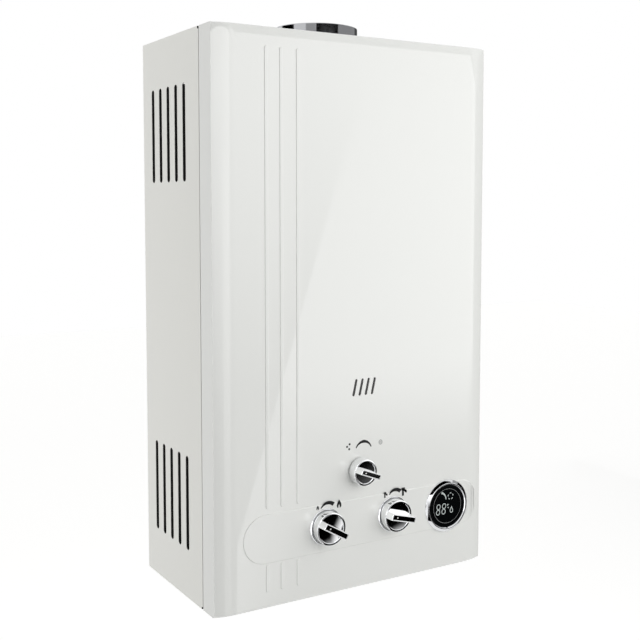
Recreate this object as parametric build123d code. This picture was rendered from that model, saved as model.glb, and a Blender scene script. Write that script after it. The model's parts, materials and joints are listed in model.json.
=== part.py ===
from build123d import *
from math import sqrt
import os

# Wall-hung tankless gas water heater. Millimetres, +X to the right seen from the front,
# +Y towards the wall, +Z up. The origin lies on the wall plane, on the centre line,
# level with the bottom of the casing.

# Casing and cover
casing_width = 428
casing_height = 740
casing_depth = 228  # wall to the flat of the front cover
cover_depth = 38.6  # flat of the front cover to the rear edge of its skirt
cover_seam = 1.6  # dark gap between the cover and the rear casing
sheet = 1.0
bend_radius = 3.0  # outer radius of the rear vertical bends
cover_bow_width = 30  # bowed stretch of the front at each side
cover_bow_drop = 5.7  # how far the bowed edges fall back at the sides
cover_edge_radius = 2.5  # top and bottom edges of the front face
rim_clearance = 0.4  # between the cover skirt and the casing rim inside it
rim_depth = 10.2

# Raised ribs and band of the front cover
rib_places = (-141.0, -119.5, -95.5)
rib_width = 4.6
rib_height = 1.0
rib_top_margin = 24
rib_bottom_margin = 22
rib_gap_above_band = 7
rib_gap_below_band = 2
band_left_margin = 38
band_right_margin = 9
band_middle = 92
band_width = 64
band_height = 1.2
band_slope = 1.3  # shoulder width for each millimetre of height
band_root = 4.5  # how deep the shoulders run in, to reach the bowed edge

# Flame-view slots
flame_slot_count = 4
flame_slot_pitch = 9.9
flame_slot_middle = (7.1, 273.6)
flame_slot_length = 21.2
flame_slot_width = 2.5
flame_slot_lean = 13  # degrees from upright

# Louvres in the casing sides
louvre_count = 5
louvre_pitch = 26
louvre_middle_from_front = 138
louvre_width = 8
louvre_length = 126
louvre_margin = 65  # from the top and the bottom of the casing
louvre_lip = 3.5

# Flue
flue_behind_front = 116
flue_radius = 59
flue_wall = 1.0
flue_stub = 24.5  # top of the casing to the top of the collar
flue_flange_width = 15
neck_clearance = 0.4  # between the collar and the neck of the draft hood
neck_height = 34
neck_side_count = 24
hood_skirt = 45  # upright part of the draft hood
hood_shoulder = 13  # flat beside the neck
hood_drop = 25  # top of the casing to the neck plate
hood_slot_count = 5
hood_slot_pitch = 44
hood_slot_size = (30, 12)

# Knobs and their shafts
knob_spread = 54  # gas and water knobs stand this far from the centre line
knob_level = 94
season_level = 162
large_knob_radius = 22
small_knob_radius = 18
knob_height = 14.5  # band of the cover to the face of the knob
knob_gap = 0.6  # under the skirt of a knob
knob_recess = 1.0
knob_rim = 3.2
knob_bevel = 1.2
grip_height = 13
grip_share = 0.42  # width of the grip as a share of the knob's radius
shaft_radius = 4.0
shaft_flat = 1.2
shaft_depth_in_knob = 10
running_clearance = 0.05
shaft_hole_radius = 11
knob_bezel_width = 2.8
knob_bezel_height = 2.0
knob_bezel_gap = 0.7
season_knob_rest = 21  # degrees that the grip's right end hangs down at rest
gas_knob_rest = 30
water_knob_rest = 15

# Display
display_side_margin = 66
display_level = 90.5
display_radius = 37.4
display_height = 5.0
display_lens_radius = 30.8
display_lens_thickness = 2.0
display_barrel_wall = 1.5
display_barrel_depth = 18

# Heat exchanger
exchanger_width = 304
exchanger_depth = 136
exchanger_wall = 1.2
chamber_bottom = 285
exchanger_top = 545
fin_stack_height = 58
overheat_place = 100
fin_thickness = 1.2
fin_pitch = 11
fin_web = 24  # solid middle of the stack that holds the tubes
fin_gap = 0.3
tube_radius = 8.0
tube_clearance = 0.05
tube_pitch = 40
tube_bend = 18
pipe_side_count = 8
tube_end_reach = 26  # how far the return bends stand out of the shell
coil_gap = 0.3
coil_lower = 350
coil_upper = 410
riser_offset = 22  # how far the feed pipe stands out from the coil

# Burner
burner_bar_count = 10
burner_bar_pitch = 28
burner_bar_width = 10
bar_port_count = 5
bar_port_pitch = 24
burner_bottom = 196
burner_top = 262
bar_gap = 0.3
frame_wall = 1.2
frame_rail = (224, 248)
frame_foot_width = 20
frame_foot_levels = (228, 264)
manifold_bottom = 202
manifold_size = 14
manifold_behind_front = 28  # flat of the front cover to the middle of the manifold
nozzle_length = 9
nozzle_radius = 4
electrode_wire = 1.6
electrode_drop = 6  # from the burner's top down to the end of the insulators

# Valves
valve_behind_front = 118
gas_barrel_radius = 24
gas_barrel_ends = (-92, 10)
gas_flange = 6
cock_barrel_radius = 20
cock_radius = 9
cock_barrel_front = 42  # in front of the valve axis
cock_barrel_back = 26
season_barrel_radius = 16
season_barrel_ends = (-20, -78)  # behind the front flat: front end and rear end, as offsets
season_plug_radius = 7
water_barrel_radius = 22
water_barrel_end = 104
diaphragm_radius = 37
diaphragm_thickness = 1.6
diaphragm_flange = 7.4
diaphragm_place = 38.6
spindle_radius = 6
gland_thickness = 6
rod_radius = 3
rod_travel = 4
rod_plate_radius = 20
rod_plate_thickness = 2.5
rod_collar_radius = 7
valve_disc_radius = 12
valve_disc_thickness = 4
valve_chamber_radius = 15
valve_chamber_length = 30

# Ports in the bottom of the casing, G 1/2 size
hot_port = -150
gas_port = -54
cold_port = 66
port_length = 30  # below the casing
thread_radius = 10.48
port_seat_radius = 12  # of the wider thread that the nut clamps
port_nut_clearance = 0.2
port_hole_clearance = 0.4
port_bore_radius = 7
port_hex = 30  # across flats
union_hex = 24
union_height = 12
port_collar_height = 8
washer_thickness = 1.5
nut_thickness = 6

# Drain valve
drain_place = 92
drain_boss_radius = 8
drain_knob_radius = 9

# Batteries
cell_radius = 17.1
cell_height = 61.5
cell_gap = 0.5
battery_wall = 2.0
battery_side_margin = 60
battery_behind_front = 77
lid_thickness = 2.2
lid_pin_radius = 1.2

# Flats that stand for the round of pieces hidden inside
hidden_side_count = 12

# Igniter box
igniter_side_margin = 62
igniter_size = (80, 30, 62)
igniter_bottom = 72
igniter_outlets = (-20, 4)

# Fasteners
screw_radius = 2.0
screw_head_radius = 3.6
screw_head_height = 1.8
screw_clearance = 0.1
wall_hole_radius = 3.5
wall_hole_side_margin = 64
wall_hole_margin = 50  # from the top and the bottom of the casing

# Derived places
half_width = casing_width / 2
front = -casing_depth
casing_front = front + cover_depth + cover_seam
cover_flat_width = casing_width - 2 * cover_bow_width
band_left = band_left_margin - half_width
band_right = half_width - band_right_margin
rib_heights_upper = (band_middle + band_width / 2 + rib_gap_above_band, casing_height - rib_top_margin)
rib_heights_lower = (rib_bottom_margin, band_middle - band_width / 2 - rib_gap_below_band)
louvre_groups = (
    (louvre_margin, louvre_margin + louvre_length),
    (casing_height - louvre_margin - louvre_length, casing_height - louvre_margin),
)
wall_hole_reach = half_width - wall_hole_side_margin
display_place = (half_width - display_side_margin, display_level)
battery_place = (half_width - battery_side_margin, front + battery_behind_front)
rim_offset = sheet + rim_clearance
rim_front = casing_front - rim_depth
band_face = casing_depth + band_height
flue_y = front + flue_behind_front
half_exchanger = exchanger_width / 2
exchanger_front = flue_y - exchanger_depth / 2
exchanger_back = flue_y + exchanger_depth / 2
valve_y = front + valve_behind_front
manifold_y = front + manifold_behind_front
coil_offset = tube_radius + coil_gap
tube_level = exchanger_top - 1 - fin_stack_height / 2
tube_rows = (flue_y + tube_pitch, flue_y, flue_y - tube_pitch)
wall_face = -sheet
collar_bottom = sheet + washer_thickness
neck_plate = casing_height - hood_drop


def span(x, y, z):
    """Box that fills the given ranges along X, Y and Z."""
    size = (x[1] - x[0], y[1] - y[0], z[1] - z[0])
    return Pos(x[0], y[0], z[0]) * Box(*size, align=(Align.MIN, Align.MIN, Align.MIN))


def rod(start, direction, radius, length):
    """Round bar from a point along a direction."""
    ends = (Align.CENTER, Align.CENTER, Align.MIN)
    return Plane(origin=start, z_dir=direction) * Cylinder(radius, length, align=ends)


def prism(start, direction, radius, length, sides=hidden_side_count):
    """Hidden round bar, drawn with a few flats inside its circle."""
    outline = RegularPolygon(radius, sides)
    return extrude(Plane(origin=start, z_dir=direction) * outline, amount=length)


def hexagon_bar(start, direction, across_flats, length):
    """Six-sided bar from a point along a direction."""
    return prism_hole(start, direction, across_flats / 2, length, 6)


def prism_hole(start, direction, radius, length, sides=hidden_side_count):
    """Cutter for a hidden round hole, drawn with a few flats outside its circle."""
    outline = RegularPolygon(radius, sides, major_radius=False)
    return extrude(Plane(origin=start, z_dir=direction) * outline, amount=length)


def ring(start, direction, outer, inner, length):
    """Round bar with a hole through it."""
    return rod(start, direction, outer, length) - rod(start, direction, inner, length)


def long_slot(length, width):
    """Upright slot outline, its ends cut in three flats."""
    return chamfer(Rectangle(width, length).vertices(), 0.29 * width)


def pipe(points, radius, bend, sides):
    """Pipe along straight runs joined by equal bends, drawn with a few flats."""
    path = FilletPolyline(*points, radius=bend)
    section = RegularPolygon(radius, sides, rotation=180 / sides)
    return sweep(Plane(origin=path @ 0, z_dir=path % 0) * section, path=path)


def screw(place, direction, length):
    """Six-sided screw: place is under the head, direction the way its shank points."""
    back = tuple(-value for value in direction)
    head = hexagon_bar(place, back, 2 * screw_head_radius, screw_head_height)
    return head + hexagon_bar(place, direction, 2 * screw_radius, length)


def screw_hole(place, direction, length):
    """Cutter for the hole of one screw, from a point along a direction."""
    return hexagon_bar(place, direction, 2 * (screw_radius + screw_clearance), length)


def mirrored_pair(piece):
    """A solid and its mirror image across the centre line."""
    return [piece, mirror(piece, about=Plane.YZ)]


def front_plane(depth):
    """Drawing plane parallel to the front, a distance in front of the wall."""
    return Plane.XZ.offset(depth)


# Front cover

def cover_outline(inset):
    """Plan of the cover, its front and sides moved inwards by a distance."""
    flat = cover_flat_width / 2
    side = half_width - inset
    bow = ((half_width - flat) ** 2 + cover_bow_drop**2) / (2 * cover_bow_drop)
    middle = front + bow
    corner = middle - sqrt((bow - inset) ** 2 - (side - flat) ** 2)
    step = (side - flat) / 2
    on_arc = middle - sqrt((bow - inset) ** 2 - step**2)
    back = front + cover_depth
    left = Line((-side, back), (-side, corner))
    left_bow = ThreePointArc((-side, corner), (-flat - step, on_arc), (-flat, front + inset))
    middle_run = Line((-flat, front + inset), (flat, front + inset))
    right_bow = ThreePointArc((flat, front + inset), (flat + step, on_arc), (side, corner))
    right = Line((side, corner), (side, back))
    close = Line((side, back), (-side, back))
    return make_face(left + left_bow + middle_run + right_bow + right + close)


def cover_block(inset):
    """Solid within the cover's outline, its top and bottom front edges rounded."""
    block = Pos(0, 0, inset) * extrude(cover_outline(inset), amount=casing_height - 2 * inset)
    ends = block.faces().filter_by(Axis.Z)
    edges = [e for end in ends for e in end.edges() if e.center().Y < front + cover_bow_drop]
    if inset:
        return chamfer(edges, 0.6 * (cover_edge_radius - inset))
    return fillet(edges, cover_edge_radius)


def band_block(inset):
    """Solid of the raised band, with sloping shoulders."""
    middle = (band_left + band_right) / 2
    length = band_right - band_left
    faces = []
    for height in (-band_root, band_height - inset):
        growth = -band_slope * (height + inset)
        outline = SlotOverall(length + 2 * growth, band_width + 2 * growth)
        faces.append(front_plane(casing_depth + height) * Pos(middle, band_middle) * outline)
    wide, narrow = faces
    prism = loft([wide.face(), narrow.face()], ruled=True)
    level = extrude(cover_outline(inset - band_height), amount=casing_height)
    return prism & level


def rib(place, levels, surface):
    """One pressed rib, raised from a plane at the given depth."""
    length = levels[1] - levels[0]
    centre = Pos(place, (levels[0] + levels[1]) / 2)
    root = front_plane(surface) * centre * long_slot(length, rib_width)
    crown = front_plane(surface + rib_height) * centre * long_slot(
        length - 2 * rib_height, rib_width - 2 * rib_height
    )
    return loft([root.face(), crown.face()], ruled=True)


def flame_slots(depth, length, width):
    """Cutters for the row of leaning flame-view slots."""
    cutters = []
    for number in range(flame_slot_count):
        x = flame_slot_middle[0] + (number - (flame_slot_count - 1) / 2) * flame_slot_pitch
        outline = SlotOverall(length, width, rotation=90 - flame_slot_lean)
        place = front_plane(casing_depth - depth) * Pos(x, flame_slot_middle[1])
        cutters.append(extrude(place * outline, amount=3 * depth))
    return cutters


def knob_places():
    """Centre and radius of the season, gas and water knobs."""
    return {
        "season": (0, season_level, small_knob_radius, season_knob_rest),
        "gas": (-knob_spread, knob_level, large_knob_radius, gas_knob_rest),
        "water": (knob_spread, knob_level, large_knob_radius, water_knob_rest),
    }


def cover_screw_places():
    """Places of the screws through the top and bottom of the cover skirt."""
    y = (front + cover_depth + rim_front) / 2
    return [(x, y, z) for x in (-wall_hole_reach, wall_hole_reach) for z in (0, casing_height)]


def front_cover():
    outer = cover_block(0) + band_block(0)
    inner = cover_block(sheet) + band_block(sheet)
    ridges, grooves = [], []
    for levels in (rib_heights_upper, rib_heights_lower):
        for place in rib_places:
            ridges.append(rib(place, levels, casing_depth))
            grooves.append(rib(place, levels, casing_depth - sheet))
    cover = outer + ridges - inner - grooves
    seat = Pos(*display_place) * Circle(display_radius + 1)
    cover += extrude(front_plane(casing_depth - sheet) * seat, amount=sheet)
    cover -= extrude(front_plane(casing_depth) * seat, amount=3 * band_height)
    sleeve_hole = display_lens_radius + display_barrel_wall + 0.3
    cover -= prism_hole(display_axis(2 * sheet), (0, -1, 0), sleeve_hole, 10)
    for x, z, _, _ in knob_places().values():
        cover -= prism_hole((x, front + 3 * sheet, z), (0, -1, 0), shaft_hole_radius, 10)
    cover -= flame_slots(3 * sheet, flame_slot_length, flame_slot_width)
    for x, y, z in cover_screw_places():
        cover -= screw_hole((x, y, z - 3 * sheet), (0, 0, 1), 6 * sheet)
    return cover


def casing_screws():
    """Screws of the cover, top and bottom, and of the flue collar."""
    cover = [screw(p, (0, 0, 1 if p[2] == 0 else -1), 7) for p in cover_screw_places()]
    flue = [screw(p, (0, 0, -1), 6) for p in flue_screw_places(casing_height + sheet)]
    return cover + flue


def sight_glass():
    """Heat-proof glass behind the flame slots, a little larger than the row."""
    x, z = flame_slot_middle
    half = (flame_slot_count * flame_slot_pitch + 16) / 2
    tall = flame_slot_length / 2 + 8
    return span((x - half, x + half), (front + sheet, front + sheet + 2), (z - tall, z + tall))


# Rear casing

def louvre_places():
    """Middle of each louvre from the front to the back."""
    middle = front + louvre_middle_from_front
    return [middle + (n - (louvre_count - 1) / 2) * louvre_pitch for n in range(louvre_count)]


def louvre_cutter(y, levels):
    """Long slot through both sides."""
    outline = long_slot(levels[1] - levels[0], louvre_width)
    place = Plane.YZ.offset(-half_width - sheet) * Pos(y, (levels[0] + levels[1]) / 2)
    return extrude(place * outline, amount=casing_width + 2 * sheet)


def louvre_lips(y, levels):
    """Tabs folded inwards along the rear edge of a slot, one on each side."""
    edge = y + louvre_width / 2
    straight = (levels[0] + louvre_width / 2, levels[1] - louvre_width / 2)
    left = span((-half_width + sheet / 2, -half_width + sheet + louvre_lip),
                (edge, edge + sheet), straight)
    return mirrored_pair(left)


def casing_skin():
    """Tray with a rim set inwards at its open front."""
    tray = span((-half_width, half_width), (casing_front, 0), (0, casing_height))
    bends = tray.edges().filter_by(Axis.Z).group_by(Axis.Y)[-1]
    tray = fillet(bends, bend_radius)
    hollow = span((-half_width + sheet, half_width - sheet),
                  (casing_front + sheet, wall_face), (sheet, casing_height - sheet))
    bends = hollow.edges().filter_by(Axis.Z).group_by(Axis.Y)[-1]
    hollow = fillet(bends, bend_radius - sheet)
    rim_outer = span((-half_width + rim_offset, half_width - rim_offset),
                     (rim_front, casing_front + sheet), (rim_offset, casing_height - rim_offset))
    inside = rim_offset + sheet
    rim_inner = span((-half_width + inside, half_width - inside),
                     (rim_front - sheet, casing_front + 2 * sheet),
                     (inside, casing_height - inside))
    return tray + rim_outer - hollow - rim_inner


def corner_notches():
    """Relief notches where the seam meets the top and bottom."""
    notch = 3 * sheet
    corner = span((-half_width, -half_width + notch), (casing_front, casing_front + notch),
                  (0, notch))
    upper = Pos(0, 0, casing_height - notch) * corner
    return mirrored_pair(corner) + mirrored_pair(upper)


def wall_hole_places():
    levels = (wall_hole_margin, casing_height - wall_hole_margin)
    return [(x, 0, z) for x in (-wall_hole_reach, wall_hole_reach) for z in levels]


def flue_screw_places(level):
    reach = (flue_radius + flue_flange_width / 2) / sqrt(2)
    return [(sx * reach, flue_y + sy * reach, level) for sx in (-1, 1) for sy in (-1, 1)]


def floor_space():
    """Space of the bottom plate, inside the walls of the casing."""
    side = half_width - sheet
    return span((-side, side), (casing_front + sheet, wall_face), (0, sheet))


def pierced_casing():
    """Casing with its louvres and every hole, the bottom plate included."""
    casing = casing_skin()
    for levels in louvre_groups:
        for y in louvre_places():
            casing += louvre_lips(y, levels)
    for levels in louvre_groups:
        for y in louvre_places():
            casing -= louvre_cutter(y, levels)
    casing -= corner_notches()
    neck_hole = flue_radius - flue_wall
    casing -= Pos(0, flue_y, casing_height) * Cylinder(neck_hole, 4 * sheet)
    for place in flue_screw_places(casing_height - 2 * sheet):
        casing -= screw_hole(place, (0, 0, 1), 4 * sheet)
    for x in (hot_port, gas_port, cold_port):
        casing -= prism_hole((x, valve_y, -sheet), (0, 0, 1), port_seat_radius + port_hole_clearance,
                             4 * sheet)
    casing -= prism_hole((drain_place, valve_y, -sheet), (0, 0, 1), shaft_radius + 1, 4 * sheet)
    casing -= Pos(battery_place[0], battery_place[1], 0) * Box(
        battery_outer()[0] + 1, battery_outer()[1] + 1, 4 * sheet
    )
    for place in wall_hole_places():
        casing -= rod((place[0], -4 * sheet, place[2]), (0, 1, 0), wall_hole_radius, 8 * sheet)
    for x, y, z in cover_screw_places():
        casing -= screw_hole((x, y, z - 4 * sheet), (0, 0, 1), 8 * sheet)
    for x, _, z in foot_screw_places() + bracket_foot_places():
        casing -= screw_hole((x, -2 * sheet, z), (0, 1, 0), 4 * sheet)
    return casing


def rear_casing():
    return pierced_casing() - floor_space()


def casing_floor():
    """Bottom plate of the casing, with the holes for the ports and the battery box."""
    return pierced_casing() & floor_space()


# Flue

def flue_collar():
    """Round stub on a flat flange that sits on the casing."""
    bore = flue_radius - flue_wall
    start = (0, flue_y, casing_height)
    collar = ring(start, (0, 0, 1), flue_radius, bore, flue_stub)
    collar += ring(start, (0, 0, 1), flue_radius + flue_flange_width, bore, sheet)
    for place in flue_screw_places(casing_height - sheet):
        collar -= screw_hole(place, (0, 0, 1), 4 * sheet)
    return collar


def hood_prism(inset):
    """Solid within the draft hood: upright skirt, then shoulders up to the neck plate."""
    skirt_top = exchanger_top + hood_skirt
    narrow = flue_radius + hood_shoulder
    points = [
        (-half_exchanger, exchanger_top),
        (-half_exchanger, skirt_top),
        (-narrow, neck_plate),
        (narrow, neck_plate),
        (half_exchanger, skirt_top),
        (half_exchanger, exchanger_top),
    ]
    outline = make_face(Polyline(*points, close=True))
    if inset:
        outline = offset(outline, amount=-inset, kind=Kind.INTERSECTION)
    depth = exchanger_depth - 2 * inset
    return extrude(front_plane(-exchanger_back + inset) * outline, amount=depth)


def neck_radius():
    return flue_radius - flue_wall - neck_clearance


def draft_hood():
    """Folded hood over the heat exchanger, with relief slots in front."""
    hood = hood_prism(0) - hood_prism(sheet)
    inside = half_exchanger - sheet
    hood -= span((-inside, inside), (exchanger_front + sheet, exchanger_back - sheet),
                 (exchanger_top, exchanger_top + 2 * sheet))
    below = (0, flue_y, neck_plate - 5 * sheet)
    hood -= prism(below, (0, 0, 1), neck_radius() - sheet, 10 * sheet, neck_side_count)
    for number in range(hood_slot_count):
        x = (number - (hood_slot_count - 1) / 2) * hood_slot_pitch
        place = Pos(x, exchanger_front, exchanger_top + hood_skirt / 2)
        hood -= place * Box(hood_slot_size[0], 4 * sheet, hood_slot_size[1])
    return hood


def hood_neck():
    """Short duct from the hood up into the flue collar."""
    start = (0, flue_y, neck_plate)
    neck = prism(start, (0, 0, 1), neck_radius(), neck_height, neck_side_count)
    return neck - prism(start, (0, 0, 1), neck_radius() - sheet, neck_height, neck_side_count)


# Heat exchanger

def exchanger_block(inset, levels):
    """Upright block with the plan of the exchanger, its corners cut to clear the coil's bends."""
    block = span((-half_exchanger + inset, half_exchanger - inset),
                 (exchanger_front + inset, exchanger_back - inset), levels)
    return chamfer(block.edges().filter_by(Axis.Z), tube_bend - coil_offset - 0.6 * inset)


def exchanger_shell():
    """Upright copper sheet tube: combustion chamber below, fins above."""
    wall = exchanger_wall
    levels = (chamber_bottom, exchanger_top)
    shell = exchanger_block(0, levels) - exchanger_block(wall, levels)
    for y in tube_rows:
        start = (-half_exchanger - wall, y, tube_level)
        shell -= prism_hole(start, (1, 0, 0), tube_radius + 3 * tube_clearance,
                            exchanger_width + 2 * wall, pipe_side_count)
    return shell


def fin_stack():
    """Close fins on a solid middle that the tubes run through."""
    inset = exchanger_wall + fin_gap
    x = (-half_exchanger + inset, half_exchanger - inset)
    y = (exchanger_front + inset, exchanger_back - inset)
    bottom, top = tube_level - fin_stack_height / 2, tube_level + fin_stack_height / 2
    stack = exchanger_block(inset, (bottom, top))
    count = int((x[1] - x[0] - fin_thickness) // fin_pitch)
    pitch = (x[1] - x[0] - fin_thickness) / count
    slots = []
    for number in range(count):
        gap = (x[0] + number * pitch + fin_thickness, x[0] + (number + 1) * pitch)
        slots.append(span(gap, y, (bottom, tube_level - fin_web / 2)))
        slots.append(span(gap, y, (tube_level + fin_web / 2, top)))
    stack -= slots
    for row in tube_rows:
        start = (x[0], row, tube_level)
        stack -= prism_hole(start, (1, 0, 0), tube_radius + tube_clearance, x[1] - x[0], pipe_side_count)
    return stack


def fin_tubes():
    """One tube that runs three times through the fins."""
    reach = half_exchanger + tube_end_reach
    joint = half_exchanger + 3
    back, middle, fore = tube_rows
    points = [(joint, back), (-reach, back), (-reach, middle), (reach, middle),
              (reach, fore), (-joint, fore)]
    return pipe([(x, y, tube_level) for x, y in points], tube_radius, tube_bend, pipe_side_count)


def coil_pipe():
    """Pipe wound round the combustion chamber, then up to the fins."""
    side = half_exchanger + coil_offset
    fore, back = exchanger_front - coil_offset, exchanger_back + coil_offset
    riser = side + riser_offset
    turn = half_exchanger + tube_end_reach + 2
    points = [
        (riser, valve_y, coil_lower - 50),
        (riser, valve_y, coil_lower),
        (riser, fore, coil_lower),
        (-side, fore, coil_lower),
        (-side, back, coil_upper),
        (turn, back, coil_upper),
        (turn, back, tube_level),
        (turn, tube_rows[0], tube_level),
        (half_exchanger + 3, tube_rows[0], tube_level),
    ]
    return pipe(points, tube_radius, tube_bend, pipe_side_count)


def cold_pipe():
    """From the top of the water valve, round the burner, to the coil."""
    riser = half_exchanger + coil_offset + riser_offset
    start = cold_outlet_x()
    level = season_level + 3
    points = [
        (start, valve_y, cold_outlet_top() - 8),
        (start, valve_y, level),
        (riser, valve_y, level),
        (riser, valve_y, coil_lower - 50),
    ]
    return pipe(points, tube_radius, tube_bend, pipe_side_count)


def hot_pipe():
    """From the last fin tube down the left side to the hot outlet."""
    side = half_exchanger + tube_end_reach + 7
    points = [
        (-half_exchanger - 3, tube_rows[2], tube_level),
        (-side, tube_rows[2], tube_level),
        (-side, tube_rows[2], season_level - 12),
        (hot_port, valve_y, season_level - 12),
        (hot_port, valve_y, hot_spigot_top() - 18),
    ]
    return pipe(points, tube_radius, tube_bend, pipe_side_count)


def overheat_switch():
    """Round switch on the front of the shell, above the coil."""
    place = (overheat_place, exchanger_front, (coil_upper + tube_level) / 2)
    return prism(place, (0, -1, 0), 9, 3) + prism(place, (0, -1, 0), 7, 9)


# Burner

def bar_places():
    return [(n - (burner_bar_count - 1) / 2) * burner_bar_pitch for n in range(burner_bar_count)]


def bar_outline():
    """Side view of a burner bar: mouth at the bottom front, mixing tube, port chamber."""
    fore = exchanger_front + frame_wall + bar_gap
    back = exchanger_back - frame_wall - bar_gap
    low, top = burner_bottom, burner_top
    points = [
        (fore, low + 3), (fore, low + 19), (fore + 26, low + 14), (fore + 42, low + 24),
        (fore, low + 38), (fore, top), (back, top), (back, low + 36), (back - 14, low + 16),
        (back - 32, low + 3), (back - 56, low), (fore + 30, low + 8),
    ]
    return make_face(Polyline(*points, close=True))


def burner_bars():
    """Row of stamped bars, each with a cross slot for every group of ports."""
    blank = extrude(Plane.YZ * bar_outline(), amount=burner_bar_width / 2, both=True)
    for number in range(bar_port_count):
        y = flue_y + (number - (bar_port_count - 1) / 2) * bar_port_pitch
        blank -= Pos(0, y, burner_top) * Box(2 * burner_bar_width, 2, 5)
    return [Pos(x, 0, 0) * blank for x in bar_places()]


def burner_frame():
    """Side plates and rails that hold the bars and carry the shell, with feet on the wall side."""
    x = (half_exchanger - frame_wall, half_exchanger)
    side = span(x, (exchanger_front, exchanger_back), (burner_bottom + 4, chamber_bottom))
    tab = span(x, (manifold_y - manifold_size / 2, exchanger_front),
               (manifold_bottom - 2, manifold_bottom + manifold_size + 4))
    arm = span(x, (exchanger_back, wall_face), frame_foot_levels)
    foot = span((x[0], x[1] + frame_foot_width), (wall_face - frame_wall, wall_face),
                frame_foot_levels)
    plate = side + tab + arm + foot
    frame = plate + mirror(plate, about=Plane.YZ)
    for y in (exchanger_front, exchanger_back - frame_wall):
        frame += span((-half_exchanger, half_exchanger), (y, y + frame_wall), frame_rail)
    for x, y, z in foot_screw_places():
        frame -= screw_hole((x, y - 1, z), (0, 1, 0), 6)
    for side in (-1, 1):
        start = ((half_exchanger - 2 * frame_wall) * side, manifold_y, manifold_middle())
        frame -= screw_hole(start, (side, 0, 0), 6)
    return frame


def foot_screw_places():
    """Under the heads of the screws in the feet of the burner frame."""
    level = sum(frame_foot_levels) / 2
    x = half_exchanger + frame_foot_width * 0.6
    return [(side * x, wall_face - frame_wall, level) for side in (-1, 1)]


def manifold_middle():
    return manifold_bottom + manifold_size / 2


def gas_manifold():
    """Square gas rail between the tabs of the burner frame."""
    half = manifold_size / 2
    length = half_exchanger - frame_wall
    rail = span((-length, length), (manifold_y - half, manifold_y + half),
                (manifold_bottom, manifold_bottom + manifold_size))
    for side in (-1, 1):
        start = (side * length, manifold_y, manifold_middle())
        rail -= screw_hole(start, (-side, 0, 0), 8)
    return rail


def gas_nozzles():
    """One nozzle for each burner bar, aimed at its mouth."""
    y = manifold_y + manifold_size / 2
    level = burner_bottom + 11
    nozzle = hexagon_bar((0, y, level), (0, 1, 0), 2 * nozzle_radius, nozzle_length / 2)
    nozzle += prism((0, y, level), (0, 1, 0), nozzle_radius - 1, nozzle_length, 6)
    return [Pos(x, 0, 0) * nozzle for x in bar_places()]


def electrode_places():
    return (flame_slot_middle[0] - 40, flame_slot_middle[0] + 40)


def electrode_bracket():
    """Strip on the front rail with a collar for each electrode."""
    low, high = frame_rail[0] + 5, frame_rail[1] - 4
    left, right = electrode_places()
    strip = span((left - 12, right + 12), (exchanger_front - 1.5, exchanger_front), (low, high))
    for x in (left, right):
        strip += prism((x, exchanger_front - 7, low), (0, 0, 1), 6, high - low)
        strip += span((x - 3, x + 3), (exchanger_front - 5, exchanger_front), (low, high))
    for x in (left, right):
        strip -= prism_hole((x, exchanger_front - 7, low), (0, 0, 1), 3.5 + tube_clearance,
                            high - low)
    strip -= span((left - 20, right + 20), (exchanger_front, exchanger_front + 9), (low, high))
    return strip


def electrode_insulators():
    low = frame_rail[0] - 2
    y, length = exchanger_front - 7, burner_top - electrode_drop - low
    return [prism((x, y, low), (0, 0, 1), 3.5, length) for x in electrode_places()]


def electrode_tips():
    """Square wires from the insulators to just above the burner bars."""
    y, low = exchanger_front - 7, burner_top - electrode_drop
    tips = []
    for x in electrode_places():
        across = (x - electrode_wire / 2, x + electrode_wire / 2)
        upright = span(across, (y - electrode_wire / 2, y + electrode_wire / 2),
                       (low, burner_top + 9))
        arm = span(across, (y - electrode_wire / 2, y + 20),
                   (burner_top + 9 - electrode_wire, burner_top + 9))
        tips.append(upright + arm)
    return tips


# Ports

def port_fitting(x, spigot_top, socket_depth):
    """Threaded stub below the casing, hexagon collar inside it, spigot above."""
    up = (0, 0, 1)
    body = rod((x, valve_y, -port_length), up, thread_radius, port_length + collar_bottom)
    body += prism((x, valve_y, -nut_thickness), up, port_seat_radius, nut_thickness + collar_bottom)
    body += hexagon_bar((x, valve_y, collar_bottom), up, port_hex, port_collar_height)
    body += prism((x, valve_y, collar_bottom), up, tube_radius + 3.2, spigot_top - collar_bottom)
    body -= rod((x, valve_y, -port_length), up, port_bore_radius, port_length + spigot_top)
    if socket_depth:
        socket = (x, valve_y, spigot_top - socket_depth)
        body -= prism_hole(socket, up, tube_radius + tube_clearance, socket_depth, pipe_side_count)
    return body


def hot_spigot_top():
    return collar_bottom + 38


def hot_outlet():
    return port_fitting(hot_port, hot_spigot_top(), 20)


def gas_inlet():
    return port_fitting(gas_port, valve_boss_bottom(), 0)


def cold_inlet():
    return port_fitting(cold_port, valve_boss_bottom(), 0)


def port_places():
    return (hot_port, gas_port, cold_port)


def port_washers():
    """Flat washers between the collars and the bottom of the casing."""
    washers = []
    for x in port_places():
        washer = prism((x, valve_y, sheet), (0, 0, 1), port_hex / 2, washer_thickness)
        hole = prism_hole((x, valve_y, sheet), (0, 0, 1), port_seat_radius + port_nut_clearance,
                          washer_thickness)
        washers.append(washer - hole)
    return washers


def port_nuts():
    """Hexagon nuts that clamp the fittings to the bottom of the casing."""
    nuts = []
    for x in port_places():
        place = (x, valve_y, -nut_thickness)
        nut = hexagon_bar(place, (0, 0, 1), port_hex, nut_thickness)
        hole = prism_hole(place, (0, 0, 1), port_seat_radius + port_nut_clearance, nut_thickness)
        nuts.append(nut - hole)
    return nuts


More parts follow.
